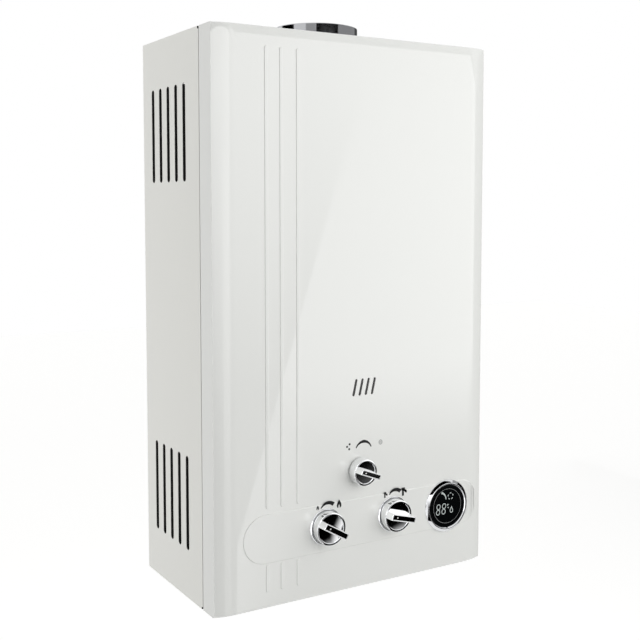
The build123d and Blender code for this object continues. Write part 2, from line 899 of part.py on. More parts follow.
def union_nuts():
    """Nuts round the pipes at the water valve and at the hot outlet."""
    nuts = []
    for x, z in ((cold_outlet_x(), cold_outlet_top()), (hot_port, hot_spigot_top())):
        nut = hexagon_bar((x, valve_y, z), (0, 0, 1), union_hex, union_height)
        hole = prism_hole((x, valve_y, z), (0, 0, 1), tube_radius + 2 * tube_clearance, union_height,
                          pipe_side_count)
        nuts.append(nut - hole)
    return nuts


# Gas side

def valve_boss_bottom():
    return knob_level - gas_barrel_radius - 8


def gas_valve_body():
    """Cast body: barrel along the push rod, crossed by the barrel of the gas cock."""
    left, right = gas_barrel_ends
    axis = (left, valve_y, knob_level)
    body = prism(axis, (1, 0, 0), gas_barrel_radius, right - left)
    cock = (-knob_spread, valve_y - cock_barrel_front, knob_level)
    body += prism(cock, (0, 1, 0), cock_barrel_radius, cock_barrel_front + cock_barrel_back)
    side = 2 * gas_barrel_radius + 4
    flange = Pos(left + gas_flange / 2, valve_y, knob_level) * Box(gas_flange, side, side)
    body += chamfer(flange.edges().filter_by(Axis.X), 8)
    inlet = (gas_port, valve_y, valve_boss_bottom())
    body += prism(inlet, (0, 0, 1), 14, knob_level - valve_boss_bottom())
    outlet = span((-14, right), (season_neck_y() - 13, valve_y), (knob_level, season_foot()))
    body += outlet
    body -= rod(cock, (0, 1, 0), cock_radius + running_clearance, cock_barrel_front + 16)
    chamber = (right - 20 - valve_chamber_length, valve_y, knob_level)
    body -= prism_hole(chamber, (1, 0, 0), valve_chamber_radius, valve_chamber_length)
    body -= prism_hole(chamber, (1, 0, 0), rod_radius + running_clearance, valve_chamber_length + 30)
    for place in bracket_screw_places():
        body -= screw_hole(place, (0, -1, 0), 10)
    return body


def season_neck_y():
    return valve_y - 23


def season_foot():
    return knob_level + 34


def solenoid_valve():
    """Safety valve can on the left flange, with its round connector."""
    start = (gas_barrel_ends[0], valve_y, knob_level)
    can = prism(start, (-1, 0, 0), 16, 32)
    can = chamfer(can.edges().group_by(Axis.X)[0], 2)
    return can + prism((start[0] - 32, valve_y, knob_level), (-1, 0, 0), 5, 5)


def shaft(kind, plug_radius, plug_front, plug_length):
    """Turned shaft with a flat for its knob and a plug or cock at its inner end."""
    x, z, radius, _ = knob_places()[kind]
    tip = band_face + knob_gap + shaft_depth_in_knob
    plug = rod((x, plug_front, z), (0, 1, 0), plug_radius, plug_length)
    bar = rod((x, -tip, z), (0, 1, 0), shaft_radius, tip + plug_front)
    return plug + bar - shaft_flat_cutter(x, z, tip)


def shaft_flat_cutter(x, z, tip):
    """Removes the top of the shaft where the knob grips it."""
    floor = z + shaft_radius - shaft_flat
    return span((x - 5, x + 5), (-tip, -tip + shaft_depth_in_knob), (floor, floor + 5))


def gas_shaft():
    return shaft("gas", cock_radius, valve_y - cock_barrel_front, cock_barrel_front + 14)


def shaft_gland(x, z, y):
    """Hexagon nut that closes a barrel round its shaft."""
    nut = hexagon_bar((x, y, z), (0, -1, 0), 22, gland_thickness)
    return nut - prism_hole((x, y, z), (0, -1, 0), shaft_radius + 2 * running_clearance,
                            gland_thickness)


def shaft_glands():
    return [
        shaft_gland(-knob_spread, knob_level, valve_y - cock_barrel_front),
        shaft_gland(0, season_level, front - season_barrel_ends[0]),
        shaft_gland(knob_spread, knob_level, spindle_boss_front()),
    ]


def season_valve_body():
    """Small cast valve between the gas valve and the manifold."""
    fore, back = front - season_barrel_ends[0], front - season_barrel_ends[1]
    body = prism((0, fore, season_level), (0, 1, 0), season_barrel_radius, back - fore)
    link = span((-12, 12), (back - 20, season_neck_y() + 12), (season_foot(), season_level - 6))
    body += link + prism((0, season_neck_y(), season_foot()), (0, 0, 1), 10, 12)
    body += prism((0, manifold_y, season_level), (0, 0, 1), manifold_size / 2,
                  manifold_bottom - season_level)
    plug = (0, fore, season_level)
    body -= rod(plug, (0, 1, 0), season_plug_radius + running_clearance, back - fore - 10)
    return body


def season_shaft():
    length = season_barrel_ends[0] - season_barrel_ends[1] - 12
    return shaft("season", season_plug_radius, front - season_barrel_ends[0], length)


def valve_bracket():
    """Folded bracket from the back of the gas valve to the casing."""
    x = (-knob_spread - 26, -knob_spread + 26)
    y = valve_y + cock_barrel_back
    face = span(x, (y, y + 1.5), (knob_level - 34, knob_level + 16))
    arm = span(x, (y, wall_face), (knob_level - 34, knob_level - 32.5))
    foot = span(x, (wall_face - 1.5, wall_face), (knob_level - 58, knob_level - 32.5))
    bracket = face + arm + foot
    for px, py, pz in bracket_screw_places() + bracket_foot_places():
        bracket -= screw_hole((px, py - 3, pz), (0, 1, 0), 8)
    return bracket


def bracket_screw_places():
    y = valve_y + cock_barrel_back
    return [(-knob_spread + side * 12, y, knob_level) for side in (-1, 1)]


def bracket_foot_places():
    return [(-knob_spread + side * 14, wall_face - 1.5, knob_level - 46) for side in (-1, 1)]


def chassis_screws():
    """Screws of the burner frame, manifold, valve bracket and diaphragm cover."""
    feet = foot_screw_places() + bracket_foot_places()
    screws = [screw(place, (0, 1, 0), -place[1] - 0.2) for place in feet]
    screws += [screw((x, y + 1.5, z), (0, -1, 0), 9) for x, y, z in bracket_screw_places()]
    for side in (-1, 1):
        place = (side * half_exchanger, manifold_y, manifold_middle())
        screws.append(screw(place, (-side, 0, 0), 8))
    return screws + diaphragm_screws()


# Water side

def spindle_boss_front():
    return valve_y - water_barrel_radius - 16


def cold_outlet_x():
    return cold_port + 18


def cold_outlet_top():
    return knob_level + water_barrel_radius + 8


def diaphragm_screw_places():
    reach = diaphragm_radius - 5
    places = []
    for number in range(4):
        spot = Vector(0, reach, 0).rotate(Axis.X, 45 + 90 * number)
        places.append((valve_y + spot.Y, knob_level + spot.Z))
    return places


def screw_hole_row(body, x, length):
    """Cuts the diaphragm screw holes through a body, from x along +X."""
    for y, z in diaphragm_screw_places():
        body -= screw_hole((x, y, z), (1, 0, 0), length)
    return body


def water_valve_body():
    """Cast body: flange, barrel, spindle boss, inlet, outlet and drain bosses."""
    start = (diaphragm_place, valve_y, knob_level)
    body = prism(start, (1, 0, 0), diaphragm_radius, diaphragm_flange)
    body += prism(start, (1, 0, 0), water_barrel_radius, water_barrel_end - diaphragm_place)
    spindle = (knob_spread, spindle_boss_front(), knob_level)
    body += prism(spindle, (0, 1, 0), 11, valve_y - spindle_boss_front())
    body += prism((cold_port, valve_y, valve_boss_bottom()), (0, 0, 1), 12, 30)
    body += prism((cold_outlet_x(), valve_y, knob_level), (0, 0, 1), 11,
                  cold_outlet_top() - knob_level)
    body += prism((drain_place, valve_y, 14), (0, 0, 1), drain_boss_radius, knob_level - 14)
    body -= rod(spindle, (0, 1, 0), spindle_radius + running_clearance, 34)
    outlet = (cold_outlet_x(), valve_y, cold_outlet_top() - 8)
    body -= prism_hole(outlet, (0, 0, 1), tube_radius + tube_clearance, 8, pipe_side_count)
    body -= prism_hole((drain_place, valve_y, 14), (0, 0, 1), shaft_radius + running_clearance, 14)
    return screw_hole_row(body, diaphragm_place, 4)


def diaphragm():
    """Rubber disc clamped between the flanges."""
    start = (diaphragm_place - diaphragm_thickness, valve_y, knob_level)
    disc = prism(start, (1, 0, 0), diaphragm_radius, diaphragm_thickness)
    return screw_hole_row(disc, start[0], diaphragm_thickness)


def diaphragm_cover():
    """Dished cover with a bore for the push rod."""
    face = diaphragm_place - diaphragm_thickness
    hub = diaphragm_flange + 8
    cover = prism((face, valve_y, knob_level), (-1, 0, 0), diaphragm_radius, diaphragm_flange)
    cover += prism((face, valve_y, knob_level), (-1, 0, 0), 27, hub)
    cavity = (face, valve_y, knob_level)
    cover -= prism_hole(cavity, (-1, 0, 0), rod_plate_radius + 3, hub - 3)
    cover -= prism_hole(cavity, (-1, 0, 0), rod_radius + running_clearance, hub)
    return screw_hole_row(cover, face - diaphragm_flange, diaphragm_flange)


def diaphragm_screws():
    face = diaphragm_place - diaphragm_thickness - diaphragm_flange
    length = diaphragm_flange + diaphragm_thickness + 3
    return [screw((face, y, z), (1, 0, 0), length) for y, z in diaphragm_screw_places()]


def water_spindle():
    return shaft("water", spindle_radius, spindle_boss_front(), 32)


def rod_ends():
    """Right end at the diaphragm plate and left end in the gas valve."""
    right = diaphragm_place - diaphragm_thickness - 0.5
    left = gas_barrel_ends[1] - 20 - 0.3 - valve_disc_thickness
    return left, right


def collar_place():
    """Right face of the collar that works the switch lever."""
    return diaphragm_place - diaphragm_thickness - diaphragm_flange - 8 - 3


def push_rod():
    """Rod from the diaphragm plate to the gas valve disc, with a collar for the switch."""
    left, right = rod_ends()
    bar = prism((left + valve_disc_thickness, valve_y, knob_level), (1, 0, 0), rod_radius,
                right - left - valve_disc_thickness)
    bar += prism((right, valve_y, knob_level), (-1, 0, 0), rod_plate_radius, rod_plate_thickness)
    return bar + prism((collar_place(), valve_y, knob_level), (-1, 0, 0), rod_collar_radius, 2)


def gas_valve_disc():
    left, _ = rod_ends()
    return prism((left, valve_y, knob_level), (1, 0, 0), valve_disc_radius, valve_disc_thickness)


def return_spring():
    """Sleeve that fills the space of the coil spring behind the gas valve disc."""
    left, _ = rod_ends()
    start = gas_barrel_ends[1] - 20 - valve_chamber_length
    sleeve = prism((start, valve_y, knob_level), (1, 0, 0), 8.5, left - start)
    return sleeve - prism((start, valve_y, knob_level), (1, 0, 0), 7, left - start)


def lever_pivot():
    """Place of the switch lever's pivot, seen from the front."""
    return collar_place() - 2.6, knob_level + 30


def micro_switch():
    """Switch on top of the diaphragm cover, slotted for its lever."""
    x, z = lever_pivot()
    body = span((x - 4, x + 12), (valve_y - 6, valve_y + 6), (z - 2.7, z + 11))
    body -= span((x - 3, x + 3), (valve_y - 2, valve_y + 2), (z - 2.7, z + 3))
    body -= prism_hole((x, valve_y - 5, z), (0, 1, 0), 1 + running_clearance, 10)
    for y in (-3, 0, 3):
        body += span((x + 8, x + 9), (valve_y + y - 0.8, valve_y + y + 0.8), (z + 11, z + 15))
    return body


def switch_lever():
    """Lever that rests against the collar of the push rod."""
    x, z = lever_pivot()
    lever = prism((x, valve_y - 4.8, z), (0, 1, 0), 1, 9.6)
    lever += prism((x, valve_y - 1.7, z), (0, 1, 0), 2, 3.4)
    return lever + span((x - 0.7, x + 0.3), (valve_y - 1.7, valve_y + 1.7),
                        (knob_level + rod_radius + 0.8, z))


def drain_knob():
    """Winged knob of the drain valve, below the casing."""
    start = (drain_place, valve_y, -16)
    knob = rod(start, (0, 0, 1), drain_knob_radius - 3, 12)
    knob += Pos(drain_place, valve_y, -11) * Box(2 * drain_knob_radius, 4, 10)
    return knob + prism((drain_place, valve_y, -4), (0, 0, 1), shaft_radius, 30)


# Knobs

def knob(kind):
    """Round knob with a bevelled rim, a sunk face and a bar grip right across it."""
    x, z, radius, rest = knob_places()[kind]
    base = band_face + knob_gap
    height = knob_height - knob_gap
    skirt = Cylinder(radius, height, align=(Align.CENTER, Align.CENTER, Align.MIN))
    skirt = chamfer(skirt.edges().group_by(Axis.Z)[-1], knob_bevel)
    face = Pos(0, 0, height - knob_recess) * Cylinder(
        radius - knob_rim, 10, align=(Align.CENTER, Align.CENTER, Align.MIN)
    )
    body = skirt - face
    width = grip_share * radius
    grip = Pos(0, 0, height / 2) * Box(
        3 * radius, width, height / 2 + grip_height, align=(Align.CENTER, Align.CENTER, Align.MIN)
    )
    grip &= Cone(radius, radius - 2.4, height + grip_height,
                 align=(Align.CENTER, Align.CENTER, Align.MIN))
    grip = chamfer(grip.edges().group_by(Axis.Z)[-1], 1.0)
    body += grip
    hole = Cylinder(shaft_radius + running_clearance, shaft_depth_in_knob,
                    align=(Align.CENTER, Align.CENTER, Align.MIN))
    body -= hole
    turned = front_plane(base) * Pos(x, z, 0) * Rot(0, 0, -rest) * body
    key = span((x - shaft_radius, x + shaft_radius), (-base - shaft_depth_in_knob, -base),
               (z + shaft_radius - shaft_flat + running_clearance, z + shaft_radius + 1))
    return turned + key


def knob_bezels():
    """Rims round the gas and water knobs."""
    rims = []
    for kind in ("gas", "water"):
        x, z, radius, _ = knob_places()[kind]
        inner = radius + knob_bezel_gap
        rim = ring((x, -band_face, z), (0, -1, 0), inner + knob_bezel_width, inner,
                   knob_bezel_height)
        rims.append(rim)
    return rims


# Display

def display_axis(depth):
    """Point on the axis of the display, a distance behind the flat of the cover."""
    return (display_place[0], front + depth, display_place[1])


def display_bezel():
    """Bright ring with a sleeve through the cover."""
    forward = (0, -1, 0)
    rim = rod(display_axis(0), forward, display_radius, display_height)
    rim = chamfer(rim.edges().group_by(Axis.Y)[0], 1.6)
    rim += prism(display_axis(4), forward, display_lens_radius + display_barrel_wall, 4)
    seat = display_height - 1.5 - display_lens_thickness
    rim -= prism_hole(display_axis(4), forward, display_lens_radius - 3, 20)
    rim -= rod(display_axis(-seat), forward, display_lens_radius + 0.1, 20)
    return rim


def display_lens():
    """Dark round window seated in the bezel."""
    seat = display_height - 1.5 - display_lens_thickness
    return rod(display_axis(-seat), (0, -1, 0), display_lens_radius, display_lens_thickness)


def display_housing():
    """Cup behind the cover, round the sleeve of the bezel."""
    inner = display_lens_radius + display_barrel_wall + 0.2
    outer = inner + 4
    depth = display_barrel_depth
    cup = prism(display_axis(sheet), (0, 1, 0), outer, depth)
    return cup - prism_hole(display_axis(sheet), (0, 1, 0), inner, depth - 2)


def display_board():
    """Round circuit board held against the rear of the sleeve."""
    return prism(display_axis(4.2), (0, 1, 0), display_lens_radius + 1, 1.6)


# Igniter and batteries

def igniter_box():
    """Moulded box on the casing back, with its two high-voltage outlets on top."""
    width, depth, height = igniter_size
    middle = half_width - igniter_side_margin
    x = (middle - width / 2, middle + width / 2)
    z = (igniter_bottom, igniter_bottom + height)
    box = span(x, (wall_face - depth, wall_face), z)
    box = chamfer(box.edges().filter_by(Axis.Y), 3)
    box = chamfer(box.faces().sort_by(Axis.Y)[0].edges(), 1.5)
    for offset_x in igniter_outlets:
        outlet = (middle + offset_x, wall_face - depth / 2, z[1] - 1)
        box += prism(outlet, (0, 0, 1), 5, 10)
    return box


def battery_inner():
    """Width, depth and height of the space for two cells side by side."""
    return 4 * cell_radius + 3 * cell_gap, 2 * cell_radius + 2 * cell_gap, cell_height + 3


def battery_outer():
    return tuple(size + 2 * battery_wall for size in battery_inner()[:2])


def battery_box():
    """Box open at the bottom, with a flange under the casing and lugs for the lid."""
    x, y = battery_place
    width, depth, height = battery_inner()
    outer_width, outer_depth = battery_outer()
    low = (Align.CENTER, Align.CENTER, Align.MIN)
    box = Pos(x, y, 0) * Box(outer_width, outer_depth, height + battery_wall, align=low)
    box += Pos(x, y, -3) * Box(outer_width + 12, outer_depth + 14, 3, align=low)
    lug_y, lug_z = lid_hinge()
    for side in (-1, 1):
        lug = Pos(x + side * (outer_width / 2 + 3), lug_y, -3) * Box(
            5, 5, 5.2, align=(Align.CENTER, Align.CENTER, Align.MAX)
        )
        box += lug
    box -= Pos(x, y, -3) * Box(width, depth, height + 3, align=low)
    box -= prism_hole((x - outer_width, lug_y, lug_z), (1, 0, 0), lid_pin_radius + 0.02,
                      2 * outer_width)
    return box


def lid_hinge():
    """Depth and level of the lid's hinge axis."""
    return battery_place[1] + battery_outer()[1] / 2 + 4, -5.7


def battery_lid():
    """Flat lid with a hinge barrel behind and a finger lip in front."""
    x, y = battery_place
    lug_y, lug_z = lid_hinge()
    width = battery_outer()[0]
    barrel_radius = 2.3
    top = lug_z + barrel_radius
    plate = span((x - width / 2, x + width / 2), (y - battery_outer()[1] / 2 - 5, lug_y),
                 (top - lid_thickness, top))
    barrel = prism((x - width / 2 + 0.8, lug_y, lug_z), (1, 0, 0), barrel_radius, width - 1.6)
    lip = span((x - 12, x + 12), (y - battery_outer()[1] / 2 - 8, y - battery_outer()[1] / 2 - 5),
               (top - lid_thickness, top))
    relief = []
    for side in (-1, 1):
        edge = x + side * width / 2
        relief.append(span((min(edge, edge - side * 0.8), max(edge, edge - side * 0.8)),
                           (lug_y - 3.2, lug_y + 3), (top - 5, top)))
    lid = plate + barrel + lip - relief
    return lid - prism_hole((x - width, lug_y, lug_z), (1, 0, 0), lid_pin_radius + 0.08, 2 * width)


def battery_lid_pin():
    x, _ = battery_place
    lug_y, lug_z = lid_hinge()
    half = battery_outer()[0] / 2 + 5
    return prism((x - half, lug_y, lug_z), (1, 0, 0), lid_pin_radius, 2 * half)


def battery_cells():
    x, y = battery_place
    reach = cell_radius + cell_gap / 2
    cells = []
    for side in (-1, 1):
        cell = prism((x + side * reach, y, 0), (0, 0, 1), cell_radius, cell_height - 1.5)
        tip = prism((x + side * reach, y, cell_height - 1.5), (0, 0, 1), 4.5, 1.5)
        cells.append(cell + tip)
    return cells


def battery_contacts():
    """Leaf contacts above the cells."""
    x, y = battery_place
    reach = cell_radius + cell_gap / 2
    top = battery_inner()[2]
    leaves = []
    for side in (-1, 1):
        middle = x + side * reach
        leaf = span((middle - 4, middle + 4), (y - 12, y + 12), (top - 0.6, top))
        leaf += span((middle - 4, middle + 4), (y - 3, y + 3), (cell_height + 0.3, top))
        leaves.append(leaf)
    return leaves


pieces = {
    "rear_casing": rear_casing,
    "casing_floor": casing_floor,
    "front_cover": front_cover,
    "casing_screws": casing_screws,
    "sight_glass": sight_glass,
    "flue_collar": flue_collar,
    "draft_hood": draft_hood,
    "hood_neck": hood_neck,
    "exchanger_shell": exchanger_shell,
    "fin_stack": fin_stack,
    "fin_tubes": fin_tubes,
    "coil_pipe": coil_pipe,
    "cold_pipe": cold_pipe,
    "hot_pipe": hot_pipe,
    "union_nuts": union_nuts,
    "overheat_switch": overheat_switch,
    "burner_bars": burner_bars,
    "burner_frame": burner_frame,
    "gas_manifold": gas_manifold,
    "gas_nozzles": gas_nozzles,
    "electrode_bracket": electrode_bracket,
    "electrode_insulators": electrode_insulators,
    "electrode_tips": electrode_tips,
    "gas_valve_body": gas_valve_body,
    "gas_shaft": gas_shaft,
    "gas_knob": lambda: knob("gas"),
    "gas_valve_disc": gas_valve_disc,
    "solenoid_valve": solenoid_valve,
    "season_valve_body": season_valve_body,
    "season_shaft": season_shaft,
    "season_knob": lambda: knob("season"),
    "shaft_glands": shaft_glands,
    "valve_bracket": valve_bracket,
    "chassis_screws": chassis_screws,
    "water_valve_body": water_valve_body,
    "water_spindle": water_spindle,
    "water_knob": lambda: knob("water"),
    "diaphragm": diaphragm,
    "diaphragm_cover": diaphragm_cover,
    "push_rod": push_rod,
    "return_spring": return_spring,
    "micro_switch": micro_switch,
    "switch_lever": switch_lever,
    "hot_outlet": hot_outlet,
    "gas_inlet": gas_inlet,
    "cold_inlet": cold_inlet,
    "port_washers": port_washers,
    "port_nuts": port_nuts,
    "drain_knob": drain_knob,
    "knob_bezels": knob_bezels,
    "display_bezel": display_bezel,
    "display_lens": display_lens,
    "display_housing": display_housing,
    "display_board": display_board,
    "igniter_box": igniter_box,
    "battery_box": battery_box,
    "battery_lid": battery_lid,
    "battery_lid_pin": battery_lid_pin,
    "battery_cells": battery_cells,
    "battery_contacts": battery_contacts,
}

os.makedirs("parts", exist_ok=True)
for name, make in pieces.items():
    piece = make()
    solids = piece if isinstance(piece, list) else [piece]
    shape = Compound(children=solids) if len(solids) > 1 else solids[0]
    export_step(shape, f"parts/{name}.step")
    print(name, len(solids))
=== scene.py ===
import json
from math import atan2, cos, hypot, pi, radians, sin, sqrt

import bpy
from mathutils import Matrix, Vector


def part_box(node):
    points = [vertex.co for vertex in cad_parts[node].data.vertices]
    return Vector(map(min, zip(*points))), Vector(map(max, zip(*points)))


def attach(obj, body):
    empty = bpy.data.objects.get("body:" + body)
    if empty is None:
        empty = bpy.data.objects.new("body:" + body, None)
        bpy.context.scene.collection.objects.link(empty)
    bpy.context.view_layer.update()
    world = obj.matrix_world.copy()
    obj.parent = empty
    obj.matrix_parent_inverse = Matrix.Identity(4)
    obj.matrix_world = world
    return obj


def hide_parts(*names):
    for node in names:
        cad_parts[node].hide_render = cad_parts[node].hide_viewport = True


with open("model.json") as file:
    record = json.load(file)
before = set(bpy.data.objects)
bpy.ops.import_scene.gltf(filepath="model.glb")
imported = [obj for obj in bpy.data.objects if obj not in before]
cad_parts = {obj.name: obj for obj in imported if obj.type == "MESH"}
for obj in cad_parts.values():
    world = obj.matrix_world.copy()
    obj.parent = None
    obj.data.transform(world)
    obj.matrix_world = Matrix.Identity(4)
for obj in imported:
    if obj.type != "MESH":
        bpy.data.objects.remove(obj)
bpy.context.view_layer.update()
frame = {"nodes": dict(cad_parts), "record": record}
scene = bpy.context.scene
scene.view_settings.view_transform = "Standard"
mm = 0.001

# The heater hangs on a wall: +X to the right seen from the front, +Y towards the wall, +Z up.
# Sizes in the dictionaries are in millimetres, and the helpers turn them into metres.


# Selecting and shaping

def clearSelection():
    if bpy.context.mode != "OBJECT":
        bpy.ops.object.mode_set(mode="OBJECT")
    bpy.ops.object.select_all(action="DESELECT")


def takeUp(piece):
    clearSelection()
    piece.select_set(True)
    bpy.context.view_layer.objects.active = piece


def settle(piece):  # place, turn and size go into the mesh
    takeUp(piece)
    bpy.ops.object.transform_apply(location=True, rotation=True, scale=True)


def putAt(piece, place, turn=(0, 0, 0), size=(1, 1, 1)):
    piece.location = [length * mm for length in place]
    piece.rotation_euler = turn
    piece.scale = size
    settle(piece)


def nameIt(name):
    piece = bpy.context.object
    piece.name = name
    piece.data.name = name
    return piece


def newPiece(name):
    piece = nameIt(name)
    settle(piece)
    return piece


def addBlock(name, low, high):
    clearSelection()
    low, high = Vector(low) * mm, Vector(high) * mm
    bpy.ops.mesh.primitive_cube_add(size=1, location=(low + high) / 2, scale=high - low)
    return newPiece(name)


def addRound(name, start, end, radius, sides):  # rod between two points on one axis
    clearSelection()
    start, end = Vector(start) * mm, Vector(end) * mm
    way = end - start
    turn = way.to_track_quat("Z", "Y").to_euler()
    bpy.ops.mesh.primitive_cylinder_add(vertices=sides, radius=radius * mm, depth=way.length,
                                        location=(start + end) / 2, rotation=turn)
    return newPiece(name)


def pick(piece, kind, test):  # leaves the piece in edit mode with what passes the test selected
    takeUp(piece)
    bpy.ops.object.mode_set(mode="EDIT")
    bpy.ops.mesh.select_mode(type=kind)
    bpy.ops.mesh.select_all(action="DESELECT")
    bpy.ops.object.mode_set(mode="OBJECT")
    mesh = piece.data
    if kind == "FACE":
        for face in mesh.polygons:
            face.select = bool(test(face.center / mm, face.normal))
    elif kind == "EDGE":
        for edge in mesh.edges:
            first, second = (mesh.vertices[i].co / mm for i in edge.vertices)
            edge.select = bool(test(first, second))
    else:
        for point in mesh.vertices:
            point.select = bool(test(point.co / mm))
    bpy.ops.object.mode_set(mode="EDIT")


def letGo():
    bpy.ops.object.mode_set(mode="OBJECT")


def slideSelected(x=0, y=0, z=0):
    bpy.ops.transform.translate(value=(x * mm, y * mm, z * mm))


def extrudeSelected(x=0, y=0, z=0):
    bpy.ops.mesh.extrude_region_move(TRANSFORM_OT_translate={"value": (x * mm, y * mm, z * mm)})


def slidePoints(piece, test, **way):
    pick(piece, "VERT", test)
    slideSelected(**way)
    letGo()


def dropFaces(piece, test):
    pick(piece, "FACE", test)
    bpy.ops.mesh.delete(type="FACE")
    letGo()


def isUpright(a, b):
    return abs(a.x - b.x) < 0.01 and abs(a.y - b.y) < 0.01


def bothEnds(test):
    return lambda a, b: test(a) and test(b)


def bevelEdges(piece, width, steps, test):
    pick(piece, "EDGE", test)
    bpy.ops.mesh.bevel(offset=width * mm, segments=steps, affect="EDGES", clamp_overlap=False)
    letGo()


def bevelRound(piece, width, steps, test):  # all the edges of the faces that pass the test
    pick(piece, "FACE", test)
    bpy.ops.mesh.bevel(offset=width * mm, segments=steps, affect="EDGES", clamp_overlap=True)
    letGo()


def mergeDoubles(piece, distance=0.002, outward=True):
    pick(piece, "VERT", lambda p: True)
    bpy.ops.mesh.remove_doubles(threshold=distance * mm)
    if outward:
        bpy.ops.mesh.normals_make_consistent(inside=False)
    letGo()


def applyModifier(piece, kind, **settings):
    takeUp(piece)
    modifier = piece.modifiers.new(kind.title(), kind)
    for key, value in settings.items():
        setattr(modifier, key, value)
    bpy.ops.object.modifier_apply(modifier=modifier.name)


def thicken(piece, sheet):  # inwards
    applyModifier(piece, "SOLIDIFY", thickness=sheet * mm, offset=-1, use_even_offset=True)


def combine(piece, other, operation):  # UNION, DIFFERENCE or INTERSECT, and the other piece is used up
    applyModifier(piece, "BOOLEAN", object=other, operation=operation, solver="EXACT")
    bpy.data.objects.remove(other, do_unlink=True)


def cutOut(piece, *cuts):
    for cut in cuts:
        combine(piece, cut, "DIFFERENCE")


def boreHoles(piece, holes):  # each hole has a start, an end, a radius and a number of sides
    cutOut(piece, *[addRound("hole", *hole) for hole in holes])


def copyOf(piece, name, x=0, y=0, z=0, turn=(0, 0, 0)):
    other = piece.copy()
    other.data = piece.data.copy()
    other.name = name
    other.data.name = name
    scene.collection.objects.link(other)
    putAt(other, (x, y, z), turn)
    return other


def joinAll(name, pieces):
    clearSelection()
    for piece in pieces:
        piece.select_set(True)
    bpy.context.view_layer.objects.active = pieces[0]
    if len(pieces) > 1:
        bpy.ops.object.join()
    return nameIt(name)


def turnedPiece(name, profile, sides=96, start=(0, 0, 0), forward=False):
    # A loop is extruded and scaled from one (radius, height) pair to the next. A radius of 0 closes it.
    # forward points the height axis out of the front of the heater.
    rings = [pair for pair in profile if pair[0] > 0]
    clearSelection()
    bpy.ops.mesh.primitive_circle_add(vertices=sides, radius=rings[0][0] * mm,
                                      location=(0, 0, rings[0][1] * mm), fill_type="NOTHING")
    piece = newPiece(name)
    pick(piece, "EDGE", lambda a, b: True)
    for (radius, height), (nextRadius, nextHeight) in zip(rings, rings[1:]):
        extrudeSelected(z=nextHeight - height)
        if nextRadius != radius:
            share = nextRadius / radius
            bpy.ops.transform.resize(value=(share, share, 1), center_override=(0, 0, nextHeight * mm))
    if profile[-1][0] == 0:
        extrudeSelected(z=profile[-1][1] - rings[-1][1])
        bpy.ops.mesh.merge(type="CENTER")
    letGo()
    if profile[0][0] == 0:
        pick(piece, "VERT", lambda p: False)
        letGo()
        for point in piece.data.vertices[:sides]:
            point.select = True
        bpy.ops.object.mode_set(mode="EDIT")
        extrudeSelected(z=profile[0][1] - rings[0][1])
        bpy.ops.mesh.merge(type="CENTER")
        letGo()
    mergeDoubles(piece, 0.0005)
    if forward:
        piece.rotation_euler = (radians(90), 0, 0)
    piece.location = Vector(start) * mm
    settle(piece)
    return piece


# Shared node groups

def newGroup(name, inputs, outputs):
    group = bpy.data.node_groups.new(name, "ShaderNodeTree")
    for label, kind, value in inputs:
        socket = group.interface.new_socket(name=label, in_out="INPUT", socket_type=kind)
        if value is not None:
            socket.default_value = value
    for label, kind in outputs:
        group.interface.new_socket(name=label, in_out="OUTPUT", socket_type=kind)
    return group, group.nodes.new("NodeGroupInput"), group.nodes.new("NodeGroupOutput")


def addNode(tree, kind, settings=None, **links):
    # links name the node's input sockets: a value is set, and a socket is joined
    node = tree.nodes.new("ShaderNode" + kind)
    for key, value in (settings or {}).items():
        setattr(node, key, value)
    for key, value in links.items():
        target = node.inputs[int(key[1:])] if key[0] == "i" and key[1:].isdigit() else node.inputs[key]
        if isinstance(value, bpy.types.NodeSocket):
            tree.links.new(value, target)
        else:
            target.default_value = value
    return node


def maths(tree, operation, *values):
    inputs = {"i" + str(number): value for number, value in enumerate(values)}
    return addNode(tree, "Math", {"operation": operation}, **inputs).outputs[0]


def ramp(tree, value, start, end, low=0.0, high=1.0, kind="LINEAR"):
    span = {"From Min": start, "From Max": end, "To Min": low, "To Max": high}
    return addNode(tree, "MapRange", {"interpolation_type": kind}, Value=value, **span).outputs[0]


def ownPlace(tree):
    return addNode(tree, "TexCoord").outputs["Object"]


def surfaceGrainGroup():
    # cloudy tone, fine grain and a height, from noise at two scales
    group, inner, outer = newGroup(
        "surfaceGrain",
        [("Base", "NodeSocketColor", (0.8, 0.8, 0.8, 1)), ("Tone", "NodeSocketFloat", 0.04),
         ("Cloud Scale", "NodeSocketFloat", 9.0), ("Grain Scale", "NodeSocketFloat", 600.0),
         ("Rough", "NodeSocketFloat", 0.3), ("Rough Spread", "NodeSocketFloat", 0.06),
         ("Stretch", "NodeSocketVector", (1, 1, 1))],
        [("Color", "NodeSocketColor"), ("Roughness", "NodeSocketFloat"), ("Height", "NodeSocketFloat")])
    stretched = addNode(group, "VectorMath", {"operation": "MULTIPLY"}, i0=ownPlace(group),
                        i1=inner.outputs["Stretch"]).outputs[0]
    cloud = addNode(group, "TexNoise", Vector=stretched, Scale=inner.outputs["Cloud Scale"], Detail=4.0)
    grain = addNode(group, "TexNoise", Vector=stretched, Scale=inner.outputs["Grain Scale"], Detail=2.0)
    centred = maths(group, "SUBTRACT", cloud.outputs[0], 0.5)
    light = maths(group, "ADD", maths(group, "MULTIPLY", centred, inner.outputs["Tone"]), 1.0)
    tone = addNode(group, "VectorMath", {"operation": "SCALE"}, i0=inner.outputs["Base"], Scale=light)
    spread = maths(group, "MULTIPLY", centred, inner.outputs["Rough Spread"])
    rough = maths(group, "ADD", spread, inner.outputs["Rough"])
    group.links.new(tone.outputs[0], outer.inputs["Color"])
    group.links.new(rough, outer.inputs["Roughness"])
    group.links.new(grain.outputs[0], outer.inputs["Height"])
    return group


